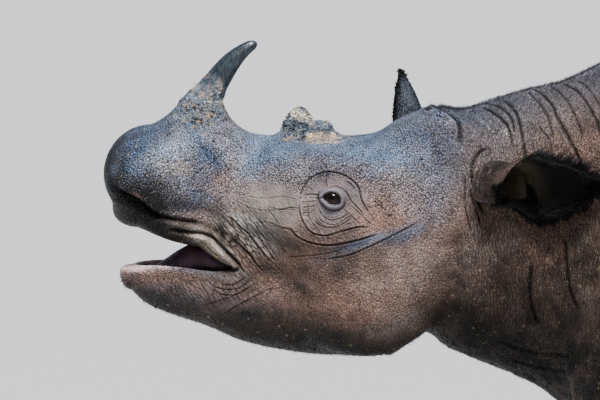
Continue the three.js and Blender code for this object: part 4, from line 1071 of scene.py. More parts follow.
# ---- horns, nails, eyeballs and tongue
HORN_LINE = [(-1055, 0, 1178), (-1050, 0, 1206), (-1032, 0, 1238), (-1004, 0, 1277), (-980, 0, 1300),
    (-958, 0, 1313)]
HORN_LONG = [45, 40, 29, 23, 19.5, 16, 11.5, 7.5]
HORN_WIDE = [37, 33, 24, 19.5, 17, 15, 11.5, 7.5]
STUB_LINE = [(-888, 0, 1140), (-889, 0, 1162), (-886, 0, 1184), (-883, 0, 1205)]
STUB_LONG = [44, 36, 30, 27, 22, 8]
STUB_WIDE = [34, 29, 25, 22, 18, 8]
STUB_LUMP = ((-858, 0, 1162), (34, 26, 23))
HORN_FLUTES = 11  # low ridges up the smooth part
HORN_CHIP = 0.97  # the horn's surface lies inside its solid, so that its lumps stay within it


def rounded_tip(rings, shape):
    """The last rings drawn in so that the end is a dome."""
    count = len(rings)
    dome = 0.2 * (1 - shape)
    share = np.clip((np.linspace(0, 1, count)[:, None, None] - 1) / dome + 1, 0, 1)
    middle = rings.mean(axis=1, keepdims=True)
    return middle + (rings - middle) * np.sqrt(1 - share**2)


def horn_mesh(line, long, wide, count, sides, crust, seed, lumpy=1.0):
    """A horn: smooth towards its tip, crusted and pitted over its root."""
    long, wide = np.array(long) * HORN_CHIP, np.array(wide) * HORN_CHIP
    rings = rings_along(line, count, sides, (1, 0, 0), long, wide)
    rings = rooted(rounded_tip(rings, 0.64), 0.3, 0.3, sink=2.5)
    points, faces = lofted(rings)
    share = np.concatenate([np.repeat(np.linspace(0, 1, count), sides), [0, 1]])
    middle = np.concatenate([np.repeat(rings.mean(axis=1), sides, axis=0), rings[[0, -1]].mean(axis=1)])
    out = points - middle
    out /= np.linalg.norm(out, axis=1)[:, None] + EPS
    rough = ramp(crust + 0.2, crust - 0.15, share + 0.12 * rolling(points, 16, seed))
    pits = ramp(0.55, 0.15, cracks(points, 7, seed)) * (0.5 + 0.5 * rolling(points, 10, seed + 1))
    raised = rough * (1.3 * rolling(points, 9, seed + 2) + 0.8 * rolling(points, 4, seed + 3) - 2.0 * pits)
    raised = lumpy * raised - 1.6 * (lumpy - 1)
    turn = np.arctan2(out[:, 1], out[:, 0])
    raised += (1 - rough) * 0.35 * np.sin(turn * HORN_FLUTES + 2 * rolling(points, 30, seed))
    raised *= ramp(1, 0.97, share)
    return points + out * raised[:, None], faces, rough, pits * rough


NAIL_SHAPES = [(-56, 31, 50), (0, 38, 60), (56, 31, 50)]  # turn from straight ahead, half width and height
NAIL_PROUD, NAIL_LIFT = 8, 6  # how far nails stand out from the foot, and up from the floor
NAIL_SET = 26  # how far inside the foot's outline their middles are
NAIL_ROUND = 0.62 * np.pi  # how far each way they run round
NAIL_INSIDE = 0.97  # their share of the solid's size, to leave room for ridges


def nail_mesh(x0, side, sections, turn, half, height):
    """A hoof-like nail: a cut ellipsoid with growth ridges and a worn lower edge."""
    _, foot_x, foot_y, long, wide = sections[0]
    angle = math.radians(-turn * side)
    cos, sin = math.cos(angle), math.sin(angle)
    reach = 1 / math.hypot(cos / long, sin / wide) - NAIL_SET
    rise, round_ = np.meshgrid(np.linspace(0, 1, 24), np.linspace(-NAIL_ROUND, NAIL_ROUND, 34), indexing="ij")
    z = -NAIL_LIFT / height + rise * (1 + NAIL_LIFT / height) * 0.985
    ring = np.sqrt(np.clip(1 - z * z, 0, 1))
    ridge = 1 + 0.010 * np.sin(rise * 34 + 0.8 * np.sin(3 * round_)) - 0.03 * ramp(0.12, 0, rise)
    u = -(NAIL_SET + NAIL_PROUD) * NAIL_INSIDE * ring * np.cos(round_) * ridge
    v = half * NAIL_INSIDE * ring * np.sin(round_) * ridge
    x = x0 + foot_x - cos * reach + cos * u - sin * v
    y = side * foot_y - sin * reach + sin * u + cos * v
    rings = np.stack([x, y, NAIL_LIFT + z * height], axis=-1)
    return lofted(rings)


def eyeball_mesh(side):
    """The front of an eyeball with its cornea; also each point's distance from the pupil's middle."""
    seat, out, rear, up = eye_seat()
    tilt = np.linspace(0, math.radians(84), 48)[:, None]
    turn = np.linspace(0, 2 * np.pi, 56, endpoint=False)
    radius = BALL_RADIUS + 0.9 * np.exp(-((tilt * BALL_RADIUS / 8.5) ** 4))
    a, b = radius * np.sin(tilt) * np.cos(turn), radius * np.sin(tilt) * np.sin(turn)
    c = radius * np.cos(tilt) * np.ones_like(turn)
    rings = seat - BALL_SUNK * out + a[..., None] * rear + b[..., None] * up + c[..., None] * out
    rings[..., 1] *= side
    points, faces = lofted(rings)
    # the pupil is wider than high, and a little forward of the ball's middle and above it
    back, over = a + 1.0, b - 0.8
    across, pupil = np.hypot(back, over), np.hypot(back / 1.25, over / 0.9)
    extra = lambda v: np.concatenate([v.ravel(), [v[0].mean(), v[-1].mean()]])
    return points, faces, extra(across), extra(pupil)


TONGUE_LINE = [(-1136, 0, 924), (-1106, 0, 930), (-1060, 0, 941), (-1010, 0, 938), (-962, 0, 930)]
TONGUE_HIGH = [7, 19, 29, 36, 35, 28, 18]
TONGUE_WIDE = [18, 32, 42, 48, 50, 44, 26]
TONGUE_INSIDE = 0.96  # its share of the solid's size, to leave room for its buds


def tongue_mesh():
    high, wide = np.array(TONGUE_HIGH) * TONGUE_INSIDE, np.array(TONGUE_WIDE) * TONGUE_INSIDE
    rings = rings_along(TONGUE_LINE, 60, 48, (0, 0, 1), high, wide)
    points, faces = lofted(rounded_tip(rings, 0.3))
    top = np.exp(-((points[:, 1] / 5) ** 2)) * ramp(-1110, -1060, points[:, 0])
    points[:, 2] -= 2.0 * top  # the furrow down its middle
    points[:, 2] += 0.6 * rolling(points, 9, 21) + 0.3 * rolling(points, 4, 22)
    return points, faces


# ---- colours
def linear(hex_colour):
    """A hex colour as sRGB, turned linear."""
    parts = [int(hex_colour[i : i + 2], 16) / 255 for i in (1, 3, 5)]
    return np.array([c / 12.92 if c <= 0.04045 else ((c + 0.055) / 1.055) ** 2.4 for c in parts])


HIDE = {
    "brown": "#6e5a4f",  # bare hide with a film of dried mud
    "red brown": "#8a6c5e",  # where the blood shows through thin hide
    "slate": "#66778a",  # grey hide of the crown and muzzle, with a painted bluish sky reflection where it faces up
    "pale": "#9a908a",  # dried mud, pale and powdery, and painted highlights on lit swellings
    "dark": "#18140e",  # painted shade on undersides, in hollows and folds, by the lids and in the nostrils; also where the ears, the tail and the legs darken towards their ends
    "black": "#151210",  # painted shade at the bottoms of creases, in the nostrils and under the jaw; also the edges of the lids and specks on the crust at the horns' roots
    "pitch": "#0a0908",  # painted shade deep in the hollows of the ears, and the ears' black edges
    # painted shade on the front and underside of the muzzle
    "muzzle": "#12171b",
    # the pink rim of the lower lip, painted pale for its wet highlight
    "lip": "#efcdcb",
    "inner lip": "#a28389",
    # painted shade inside the mouth and under the lips
    "lip edge": "#241f1d",
    "mud": "#a88f6c",
    "lid": "#76747c",
    "orbit": "#6c6a6f",  # the bare hide round the eye
    # a painted highlight on lit rolls and swellings
    "bloom": "#a8a39d",
    # a darker painted bluish sky reflection, in hollows of the muzzle, bridge and crown
    "deep blue": "#41556d",
    # a painted bluish highlight on the nose's bulge, the bridge and the forehead
    "blue bloom": "#93a5b8",
    "ear hollow": "#4f4739",
    "dry mud": "#c7b29a",
    "boss": "#6c7275",
}
DARKEST, PALEST = 0.004, 0.9  # the least and most that a colour of the hide reflects
# Where hues lie: hue, strength, place in the side view, half sizes and turn in degrees. The blue-grey ones
# carry a painted bluish sky reflection, the palest ones are partly painted highlights, and the darkest ones
# on the muzzle, jaw and neck are painted shade.
PATCHES = [
    # grey hide with a painted bluish sky reflection, and painted bluish highlights, over the muzzle, bridge,
    # crown and temple
    ("slate", 0.85, (-1130, 1125), (95, 50), 20),
    ("deep blue", 0.7, (-1140, 1148), (60, 30), 24),
    ("blue bloom", 0.4, (-955, 1140), (66, 20), 0),
    ("blue bloom", 0.45, (-958, 1112), (48, 24), 0),
    ("slate", 0.8, (-960, 1125), (130, 42), 0),
    ("slate", 0.8, (-760, 1140), (130, 46), -12),
    ("slate", 0.55, (-1060, 1060), (60, 36), 0),
    ("slate", 0.5, (-680, 1080), (50, 60), 0),
    ("pale", 0.9, (-925, 1052), (60, 40), 0),
    ("orbit", 0.75, (-830, 1044), (60, 54), 0),
    # painted highlight on the nose's bulge
    ("pale", 0.75, (-1098, 1120), (38, 30), 10),
    ("pale", 0.5, (-1010, 1135), (34, 40), 0),
    ("pale", 0.45, (-700, 1085), (50, 40), 0),
    # painted shade on the front and underside of the muzzle
    ("muzzle", 1.0, (-1218, 1085), (60, 90), 0),
    ("muzzle", 0.95, (-1165, 1030), (84, 42), -20),
    ("muzzle", 0.6, (-1060, 998), (66, 22), -8),
    ("muzzle", 0.75, (-1148, 1066), (46, 22), -20),
    ("muzzle", 0.9, (-1150, 1012), (80, 24), -18),
    # painted bluish highlight on the nose's bulge
    ("blue bloom", 0.6, (-1094, 1128), (30, 20), 10),
    ("mud", 0.35, (-1083, 1108), (20, 16), 30),
    # darker painted sky reflection in the bridge's hollow
    ("deep blue", 0.8, (-1043, 1122), (18, 30), 18),
    ("red brown", 0.5, (-1012, 1085), (28, 24), 0),
    # darker painted sky reflection on the back of the crown and under the orbit
    ("deep blue", 0.5, (-662, 1150), (50, 34), -10),
    ("deep blue", 0.85, (-716, 999), (46, 12), 27),
    ("red brown", 0.6, (-740, 1030), (60, 34), 30),
    ("red brown", 0.35, (-960, 985), (90, 40), 12),
    ("red brown", 0.4, (-840, 950), (110, 36), 0),
    # painted highlight on the lit cheek
    ("pale", 0.8, (-972, 1012), (44, 32), -20),
    ("pale", 0.6, (-700, 945), (64, 44), 24),
    ("red brown", 0.35, (-700, 945), (64, 44), 24),
    ("slate", 0.7, (-775, 981), (70, 9), 22),
    # painted shade below the cheek and the pouch
    ("dark", 0.35, (-930, 952), (56, 26), -8),
    ("dark", 0.65, (-836, 940), (84, 26), 6),
    ("dark", 0.4, (-985, 930), (30, 16), -10),
    # painted highlights on the lip roll and the cheek, with dry mud on the roll
    ("bloom", 1.0, (-1036, 967), (48, 18), -38),
    ("dry mud", 0.45, (-1040, 970), (44, 16), -38),
    ("bloom", 0.95, (-970, 1008), (44, 32), -20),
    ("bloom", 0.5, (-944, 996), (22, 18), 0),
    # painted shade in the mouth's corner, the jaw's hollow and under the jaw and chin
    ("dark", 0.95, (-1010, 989), (26, 16), -40),
    ("dark", 0.5, (-1035, 925), (52, 14), -4),
    ("dark", 0.8, (-905, 914), (62, 15), -38),
    ("dark", 0.75, (-960, 850), (120, 40), 5),
    ("dark", 0.6, (-1110, 885), (70, 26), 5),
    ("red brown", 0.25, (-800, 880), (90, 50), 0),
    ("dark", 0.95, (-810, 806), (140, 44), 0),
    ("black", 0.95, (-830, 812), (130, 42), 0),
    ("slate", 0.2, (-1060, 885), (110, 36), 0),
    # painted shade on the throat
    ("dark", 0.95, (-600, 826), (62, 76), 10),
    # painted light on the jowl's bulge
    ("brown", 0.9, (-716, 850), (56, 34), 10),
    ("pale", 0.3, (-716, 850), (50, 30), 10),
    # painted shade under the orbit and on the neck
    ("dark", 0.3, (-712, 994), (40, 14), 25),
    ("dark", 0.15, (-585, 1000), (36, 70), 0),
    ("dark", 0.65, (-470, 960), (150, 120), 0),
    ("brown", 0.75, (-604, 965), (28, 60), 0),
    ("pale", 0.25, (-604, 965), (26, 56), 0),
    ("red brown", 0.6, (-1163, 1051), (13, 9), -30),
    # painted shade on the low neck
    ("dark", 0.95, (-470, 780), (240, 120), -12),
    ("brown", 0.5, (-420, 1120), (120, 110), 0),
    ("red brown", 0.35, (-440, 1150), (60, 60), 30),
    ("slate", 0.3, (-560, 1190), (90, 50), 15),
    ("pale", 0.4, (-500, 1180), (110, 50), 20),
]


def painted(tone, *layers):
    """Colours with hues laid over them, each by its share at every point."""
    for hue, share in layers:
        tone = tone + (linear(HIDE[hue]) - tone) * np.clip(share, 0, 1)[:, None]
    return tone


def body_tone(points, outward):
    """The hide's colour at places on the skin, before its creases; the coat takes it too."""
    x, z, up = points[:, 0], points[:, 2], outward[:, 2]
    patchy = rolling(points, 70, 31)
    fine = rolling(points, 16, 32)
    tone = painted(
        np.tile(linear(HIDE["brown"]), (len(points), 1)),
        ("red brown", 0.35 + 0.35 * patchy),
        # painted bluish sky reflection on hide that faces up
        ("slate", ramp(0.35, 0.95, up + 0.15 * patchy) * ramp(600, 900, z) * 0.62),
        ("pale", 0.25 * ramp(0.2, 0.8, rolling(points, 38, 33))),
    )
    for hue, strength, place, size, turn in PATCHES:
        spread_out = blob(x + 12 * fine, z + 12 * patchy, place, size, turn)
        tone = painted(tone, (hue, strength * spread_out * (1 + 0.4 * rolling(points, 20, len(hue)))))
    # painted shade on the underside of the jaw, the throat, the belly and the insides of the legs, less on
    # the jowl; the legs darker towards the feet, with mud near the floor
    below = ramp(-0.1, -0.8, up) * (1 - 0.7 * blob(x, z, (-716, 850), (56, 34), 10))
    tone = painted(
        tone,
        ("dark", below * (0.55 + 0.3 * ramp(-500, -700, x))),
        ("dark", 0.5 * ramp(330, 60, z)),
        ("mud", 0.35 * ramp(120, 10, z) * (0.6 + 0.6 * fine)),
    )
    tone = tone * (1 + 0.13 * patchy + 0.12 * fine)[:, None]
    return np.clip(tone, DARKEST, PALEST)


def lip_masks(points, outward):
    """How far a point is on the pink rim of the lower lip, on the undersides of the lips by the mouth, and
    inside the mouth; the rim is painted pale for its highlight, the other two get painted shade.
    """
    x, y, z = points[:, 0], np.abs(points[:, 1]), points[:, 2]
    hollow = MOUTH_HOLLOW.field(x, y, z)
    spotty = rolling(points, 7, 48)
    low = 920 + 0.16 * np.maximum(x + 1172, 0)
    rim = ramp(0, 16, z - low + 5 * spotty) * ramp(958, 950, z)
    rim *= ramp(-1056, -1100, x + 8 * spotty)
    edge = ramp(12, 2, np.abs(hollow)) * ramp(-0.1, -0.6, outward[:, 2]) * ramp(-900, -960, x)
    inside = ramp(3, -1, hollow) * (x < -880)
    return rim, edge, inside


def clumps_of_mud(points):
    """How much dry mud lies at a place, in clumps behind the rear horn."""
    x, z = points[:, 0], points[:, 2]
    lie = blob(x, z, (-838, 1155), (42, 11)) + 0.4 * blob(x, z, (-900, 1152), (30, 8))
    return ramp(0.52, 0.66, lie + 0.35 * rolling(points, 10, 42) + 0.15 * rolling(points, 4, 46))


def skin_tone(points, outward, deep, gaps, pressed):
    """The skin's colour, and how wet, pebbled and plated it is."""
    x, z, up = points[:, 0], points[:, 2], outward[:, 2]
    rim, edge, inside = lip_masks(points, outward)
    speck = rolling(points, 5.5, 41)
    crust = np.maximum(blob(x, z, (-1056, 1200), (66, 46)), blob(x, z, (-872, 1164), (52, 22)))
    crust = ramp(0.35, 0.8, crust + 0.2 * speck)
    flecks = np.maximum(blob(x, z, (-990, 1030), (30, 9), 42), blob(x, z, (-990, 1006), (30, 8), 30))
    flecks = np.maximum(flecks, 0.8 * blob(x, z, (-1030, 962), (30, 14), -36))
    lid = ramp(10, 7.5, gaps)
    funnel = in_ear(points)
    tone = painted(
        body_tone(points, outward),
        # the worn hide at the roots of the horns
        ("boss", 0.7 * crust),
        ("slate", 0.6 * crust * ramp(0.0, 0.4, rolling(points, 12, 44))),
        ("black", 0.9 * crust * ramp(0.2, 0.45, -speck)),
        ("mud", 0.8 * crust * ramp(0.35, 0.6, rolling(points, 8, 45))),
        # mud in clumps and in flecks
        ("dry mud", clumps_of_mud(points) * (0.75 + 0.5 * speck)),
        ("mud", 0.8 * ramp(0.7, 0.9, 0.9 * rolling(points, 4.0, 49) + 0.5 * flecks)),
        # the lids and their black edges
        ("lid", 0.7 * lid),
        ("dark", 0.7 * ramp(3.4, 1.2, gaps + 0.8 * speck)),
        ("black", ramp(1.6, 0.3, gaps)),
        # painted shade in the nostrils
        ("dark", 0.75 * ramp(-6, 2, rolling(points, 8, 43) + 8 * pressed - 6) + pressed),
        ("black", 0.9 * ramp(0.35, 0.9, pressed)),
        # the lips and the mouth: painted shade inside the mouth and under the lips, and the lower lip's pink
        # rim painted pale for its highlight
        ("lip edge", np.maximum(edge * 0.8, inside)),
        ("inner lip", inside * ramp(-1075, -1110, x) * ramp(0, 0.5, up)),
        ("lip", rim * (0.7 + 0.4 * speck) * (1 - 0.6 * inside)),
        # painted shade in the creases
        ("black", 0.8 * deep),
        ("ear hollow", funnel),
    )
    head = ramp(-600, -660, x)
    smooth = np.clip(rim + 0.8 * lid + inside + funnel, 0, 1)
    chin = blob(x, z, (-1100, 900), (70, 26)) * ramp(-0.6, 0.2, up)
    wet = np.clip(0.9 * rim + 0.6 * inside + 0.45 * ramp(7, 0.5, gaps) + 0.15 * head + 0.6 * chin, 0, 1)
    # pebbles, with their painted glints and the painted shade between them, are strongest on the muzzle,
    # bridge and crown; the orbit and the cheek are smoother
    glinting = np.maximum(ramp(985, 1030, z - 0.1 * (x + 885)), ramp(-1030, -1080, x))
    orbit = np.maximum(blob(x, z, (-828, 1046), (54, 50)), blob(x, z, (-930, 1040), (56, 42)))
    grain = 0.4 + head * (0.6 * glinting - 0.1 + 0.25 * (1 - glinting))
    grain = grain * (1 - smooth) * (1 - 0.8 * ramp(0.2, 0.6, orbit))
    plates = (1 - head) * ramp(0, 80, z) * (1 - smooth)
    cheek = np.maximum(blob(x, z, (-985, 985), (62, 60), -30), 0.4 * blob(x, z, (-870, 985), (90, 34), 12))
    cheek = np.maximum(cheek, 0.8 * blob(x, z, (-1050, 895), (90, 30), 0))
    cheek = np.maximum(cheek, 0.12 * ramp(0.2, 0.5, orbit))
    cheek = np.clip(1.25 * cheek, 0, 1) * (1 - smooth) * (1 - 0.8 * blob(x, z, (-1038, 968), (48, 22), -38))
    return tone, {"wet": wet, "grain": grain * (1 - 0.75 * cheek), "plates": plates, "cheek": cheek}


# ---- materials
TIMES = {"operation": "MULTIPLY"}
TIMES_PLUS = {"operation": "MULTIPLY_ADD"}
OF_COLOURS = {"data_type": "RGBA"}


def feed(tree, socket, value):
    """Links an output to a socket, or sets the socket to a number, or to a colour: hex, or linear shares."""
    if isinstance(value, bpy.types.NodeSocket):
        tree.links.new(value, socket)
    elif socket.type == "RGBA":
        shares = linear(value) if isinstance(value, str) else value
        socket.default_value = (*shares, 1)
    else:
        socket.default_value = value


def add(tree, kind, inputs=(), output=None, **settings):
    """Adds a node with its settings and links, and gives one of its outputs: the first, if none is named.

    inputs go to the sockets in use in their order, or, in a dictionary, to the sockets that it names.
    """
    made = tree.nodes.new("ShaderNode" + kind)
    for name, value in settings.items():
        setattr(made, name, value)
    if isinstance(inputs, dict):
        pairs = [(made.inputs[name], value) for name, value in inputs.items()]
    else:
        pairs = zip([socket for socket in made.inputs if socket.enabled], inputs)
    for socket, value in pairs:
        feed(tree, socket, value)
    return made.outputs[output] if output else next(socket for socket in made.outputs if socket.enabled)


def new_material(name):
    material = bpy.data.materials.new(name)
    material.use_nodes = True
    return material, material.node_tree


def shade(tree, **sockets):
    """Sets or links the shader's own sockets."""
    for name, value in sockets.items():
        feed(tree, tree.nodes["Principled BSDF"].inputs[name.replace("_", " ")], value)


def per_metre(size):
    """How many times a pattern of a size in millimetres repeats in a metre."""
    return 1 / (size * MM)


def bent_place(tree, size, sway):
    """The place on the object in metres, pushed about by noise so that no pattern runs straight.

    size and sway, in millimetres, are how broad the noise is and how far it pushes.
    """
    place = add(tree, "TexCoord", output="Object")
    noise = add(tree, "TexNoise", (place, per_metre(size), 1.0), "Color")
    return add(tree, "VectorMath", (noise, [sway * MM] * 3, place), **TIMES_PLUS)


def layered(tree, colour, *layers):
    """A colour with others laid over it, each where its pattern goes from low to high, and most there."""
    for pattern, low, high, most, over in layers:
        share = add(tree, "MapRange", (pattern, low, high, 0.0, most))
        colour = add(tree, "Mix", (share, colour, over), **OF_COLOURS)
    return colour


def with_parts(tree, value, *parts):
    """A value with patterns added to it, each times a number."""
    for pattern, times in parts:
        value = add(tree, "Math", (pattern, times, value), **TIMES_PLUS)
    return value


BLUER = (1.1, 1.3, 1.6)  # how many times the red, green and blue of the pebble tops with painted glints are raised
# Sizes of the patterns in millimetres. The grit of hide, horn and nail, the flecks of the iris and the buds
# of the tongue are finer in life; they are drawn as coarse as they need to show.
PEBBLE = 3.6  # pebbles of the face are 3 to 4 mm
PLATE = 4.0  # plates between the cracks of the neck and body, three times as tall as this
WRINKLE = 5.5
HIDE_GRIT = 2.38
HIDE_MOTTLE = 35.7
FIBRE_WIDE, FIBRE_LONG = 2.778, 23.81  # bundles of the horn's fibres
HORN_GRIT = 3.03
HORN_PATCH = 13.33
HORN_STAIN = 22.73
NAIL_RIDGE = 7.0
NAIL_SCUFF = 3.33
NAIL_STAIN = 22.2
IRIS_FLECK = 1.429
TONGUE_BUD = 2.38
TONGUE_BLUSH = 25.0


def hide_material():
    """Rhinoceros hide, thick leather grown in low pebbles, with painted shade in the gaps between them and
    painted glints on their tops.
    """
    material, tree = new_material("pebbled rhinoceros hide")
    tone = add(tree, "Attribute", output="Color", attribute_name="tone")
    grain, plates, cheek, wet = (
        add(tree, "Attribute", output="Fac", attribute_name=name)
        for name in ("grain", "plates", "cheek", "wet")
    )
    place = bent_place(tree, 12, 4)
    pebbles = (place, per_metre(PEBBLE))
    pebble = add(tree, "TexVoronoi", pebbles)
    own = add(tree, "SeparateColor", (pebble.node.outputs["Color"],)).node.outputs
    wall = add(tree, "TexVoronoi", pebbles, feature="DISTANCE_TO_EDGE")
    # wrinkles of the neck and body hang upright and wander
    tall = add(tree, "VectorMath", (bent_place(tree, 50, 30), (1.0, 0.8, 0.3)), **TIMES)
    crack = add(tree, "TexVoronoi", (tall, per_metre(PLATE)), feature="DISTANCE_TO_EDGE")
    # fine wrinkles of the cheek run down and back
    down_back = {"Vector": place, "Rotation": (0, math.radians(48), 0), "Scale": (4.5, 2.0, 1.0)}
    slant = add(tree, "Mapping", down_back, vector_type="TEXTURE")
    line = add(tree, "TexVoronoi", (slant, per_metre(WRINKLE)), feature="DISTANCE_TO_EDGE")
    fine = add(tree, "TexNoise", (place, per_metre(HIDE_GRIT), 3.0))
    broad = add(tree, "TexNoise", (place, per_metre(HIDE_MOTTLE), 4.0))
    shares = []
    for pattern, low, high, to_low, to_high, where in (
        (wall, 0.02, 0.2, 1.0, 0.0, grain),
        (crack, 0.0, 0.16, 1.0, 0.0, plates),
        (line, 0.0, 0.12, 1.0, 0.0, cheek),
        (own["Red"], 0.1, 0.9, 0.25, 0.9, grain),
        (own["Green"], 0.5, 1.0, 0.0, 0.7, grain),
    ):
        share = add(tree, "MapRange", (pattern, low, high, to_low, to_high))
        shares.append(add(tree, "Math", (share, where), **TIMES))
    gap, split, line, glinting, bluish = shares
    # broad mottling of the hide, and painted glints that make some pebble tops lighter
    mottle_and_glint = add(tree, "MapRange", (broad, 0.3, 0.7, 0.72, 1.28))
    mottle_and_glint = add(tree, "Math", (mottle_and_glint, with_parts(tree, 1.0, (glinting, 0.85))), **TIMES)
    colour = add(tree, "VectorMath", (tone, mottle_and_glint), operation="SCALE")
    # painted glints made bluer, and painted shade in the gaps between pebbles, the cracks between plates and
    # the cheek's wrinkles
    for pattern, most, tint in (
        (bluish, 1.0, BLUER),
        (gap, 1.0, "#656161"),
        (split, 0.4, "#958e89"),
        (line, 0.5, "#958b86"),
    ):
        share = add(tree, "Math", (pattern, most), **TIMES)
        colour = add(tree, "Mix", (share, colour, tint), blend_type="MULTIPLY", **OF_COLOURS)
    # pebbles stand about 0.5 mm high, plates of the neck and body 1 mm
    domes = add(tree, "Math", (add(tree, "Math", (pebble, pebble), **TIMES), grain), **TIMES)
    height = with_parts(tree, 0.0, (fine, 0.22), (domes, -1.0), (split, -0.4), (line, -0.8))
    bump = add(tree, "Bump", {"Height": height, "Distance": 4.2 * MM, "Strength": 1.0})
    rough = add(tree, "MapRange", (fine, 0.3, 0.7, 0.42, 0.6))
    rough = with_parts(tree, rough, (grain, -0.18), (gap, 0.35), (wet, -0.28))
    shade(tree, IOR=1.45, Specular_IOR_Level=0.4, Base_Color=colour, Roughness=rough, Normal=bump)
    return material


def horn_material():
    """Rhinoceros horn, keratin polished by rubbing, still rough and crusted with mud at its root."""
    material, tree = new_material("rubbed keratin horn")
    crust, pits, chalky = (
        add(tree, "Attribute", output="Fac", attribute_name=name) for name in ("crust", "pits", "chalky")
    )
    place = bent_place(tree, 10, 3)
    across, along = per_metre(FIBRE_WIDE), per_metre(FIBRE_LONG)
    streak = add(tree, "VectorMath", (place, (across, across, along)), **TIMES)
    fibre = add(tree, "TexNoise", (streak, 1.0, 3.0))
    grit = add(tree, "TexNoise", (place, per_metre(HORN_GRIT), 2.0))
    patch = add(tree, "TexNoise", (place, per_metre(HORN_PATCH), 2.0))
    stain = add(tree, "TexNoise", (place, per_metre(HORN_STAIN), 3.0))
    smooth = layered(tree, "#1b2125", (fibre, 0.35, 0.65, 1.0, "#3f4a52"))
    worn = layered(
        tree,
        "#65717f",
        (with_parts(tree, stain, (chalky, 0.13)), 0.53, 0.65, 1.0, "#cbc2b2"),
        (patch, 0.55, 0.64, 0.7, "#b3927c"),
        (grit, 0.6, 0.68, 0.6, "#dad7d2"),
        (patch, 0.43, 0.37, 0.55, "#2b3036"),
        (grit, 0.44, 0.36, 0.85, "#1c1b1b"),
    )
    colour = add(tree, "Mix", (crust, smooth, worn), **OF_COLOURS)
    colour = layered(tree, colour, (pits, 0.0, 1.0, 0.85, "#100e0d"))
    height = with_parts(tree, 0.0, (fibre, 0.25), (add(tree, "Math", (grit, crust), **TIMES), 1.0))
    bump = add(tree, "Bump", {"Height": height, "Distance": 1.5 * MM, "Strength": 0.8})
    rough = add(tree, "MapRange", (crust, 0.0, 1.0, 0.34, 0.75))
    shade(tree, IOR=1.54, Base_Color=colour, Roughness=rough, Normal=bump)
    return material


def nail_material():
    """Toenail, keratin scuffed by walking: dull, ridged across by growth, and stained with mud."""
    material, tree = new_material("scuffed keratin toenail")
    place = bent_place(tree, 20, 6)
    stain = add(tree, "TexNoise", (place, per_metre(NAIL_STAIN), 4.0))
    wave = {"Vector": place, "Scale": per_metre(NAIL_RIDGE) * math.pi / 10, "Distortion": 3.0}
    ridges = add(tree, "TexWave", wave, "Fac", bands_direction="Z")
    scuff = add(tree, "TexNoise", (place, per_metre(NAIL_SCUFF), 3.0))
    colour = layered(tree, "#4a3f37", (stain, 0.35, 0.65, 1.0, "#80715f"), (scuff, 0.5, 0.68, 0.5, "#a39580"))
    height = with_parts(tree, 0.0, (ridges, 0.6), (scuff, 0.4))
    bump = add(tree, "Bump", {"Height": height, "Distance": 1.0 * MM, "Strength": 0.8})
    rough = add(tree, "MapRange", (scuff, 0.3, 0.7, 0.5, 0.75))
    shade(tree, IOR=1.54, Base_Color=colour, Roughness=rough, Normal=bump)
    return material


def eye_material():
    """A living eye: dark brown iris and pupil under a clear cornea kept wet by tears."""
    material, tree = new_material("wet dark brown eye")
    place = add(tree, "TexCoord", output="Object")
    fleck = add(tree, "TexNoise", (place, per_metre(IRIS_FLECK), 3.0))
    across, pupil = (
        add(tree, "Attribute", output="Fac", attribute_name=name) for name in ("across", "pupil")
    )
    iris = layered(tree, "#150c09", (fleck, 0.35, 0.65, 1.0, "#2c1b14"))
    white = layered(tree, "#1a1312", (fleck, 0.3, 0.7, 1.0, "#352a29"))
    # distances from the pupil's middle in millimetres
    edge, rim = (across, 9.6, 10.8, 1.0, white), (across, 8.6, 10.4, 0.8, "#120c0a")
    colour = layered(tree, iris, edge, rim, (pupil, 4.6, 4.0, 1.0, "#050505"))
    shade(tree, Base_Color=colour, Roughness=0.35, IOR=1.376, Specular_IOR_Level=0.1)
    shade(tree, Coat_Weight=1.0, Coat_Roughness=0.03, Coat_IOR=1.376)
    return material


def tongue_material():
    """Tongue, wet flesh roughened by small buds."""
    material, tree = new_material("wet dark tongue")
    place = bent_place(tree, 10, 2)
    buds = add(tree, "TexVoronoi", (place, per_metre(TONGUE_BUD)))
    blush = add(tree, "TexNoise", (place, per_metre(TONGUE_BLUSH), 3.0))
    colour = layered(tree, "#2c2327", (blush, 0.35, 0.65, 1.0, "#5e4850"))
    bump = add(tree, "Bump", {"Height": buds, "Distance": 0.8 * MM, "Strength": 0.6}, invert=True)
    rough = add(tree, "MapRange", (blush, 0.3, 0.7, 0.25, 0.45))
    shade(tree, IOR=1.4, Subsurface_Weight=0.1, Subsurface_Scale=0.01)
    shade(tree, Base_Color=colour, Roughness=rough, Normal=bump)
    return material


def hair_material():
    """Coarse guard hair, keratin: a dull sheen along it, darker than the hide."""
    material, tree = new_material("coarse dark hair")
    tone = add(tree, "Attribute", output="Color", attribute_name="tone")
    shade(tree, IOR=1.55, Roughness=0.62, Specular_IOR_Level=0.3, Base_Color=tone)
    return material


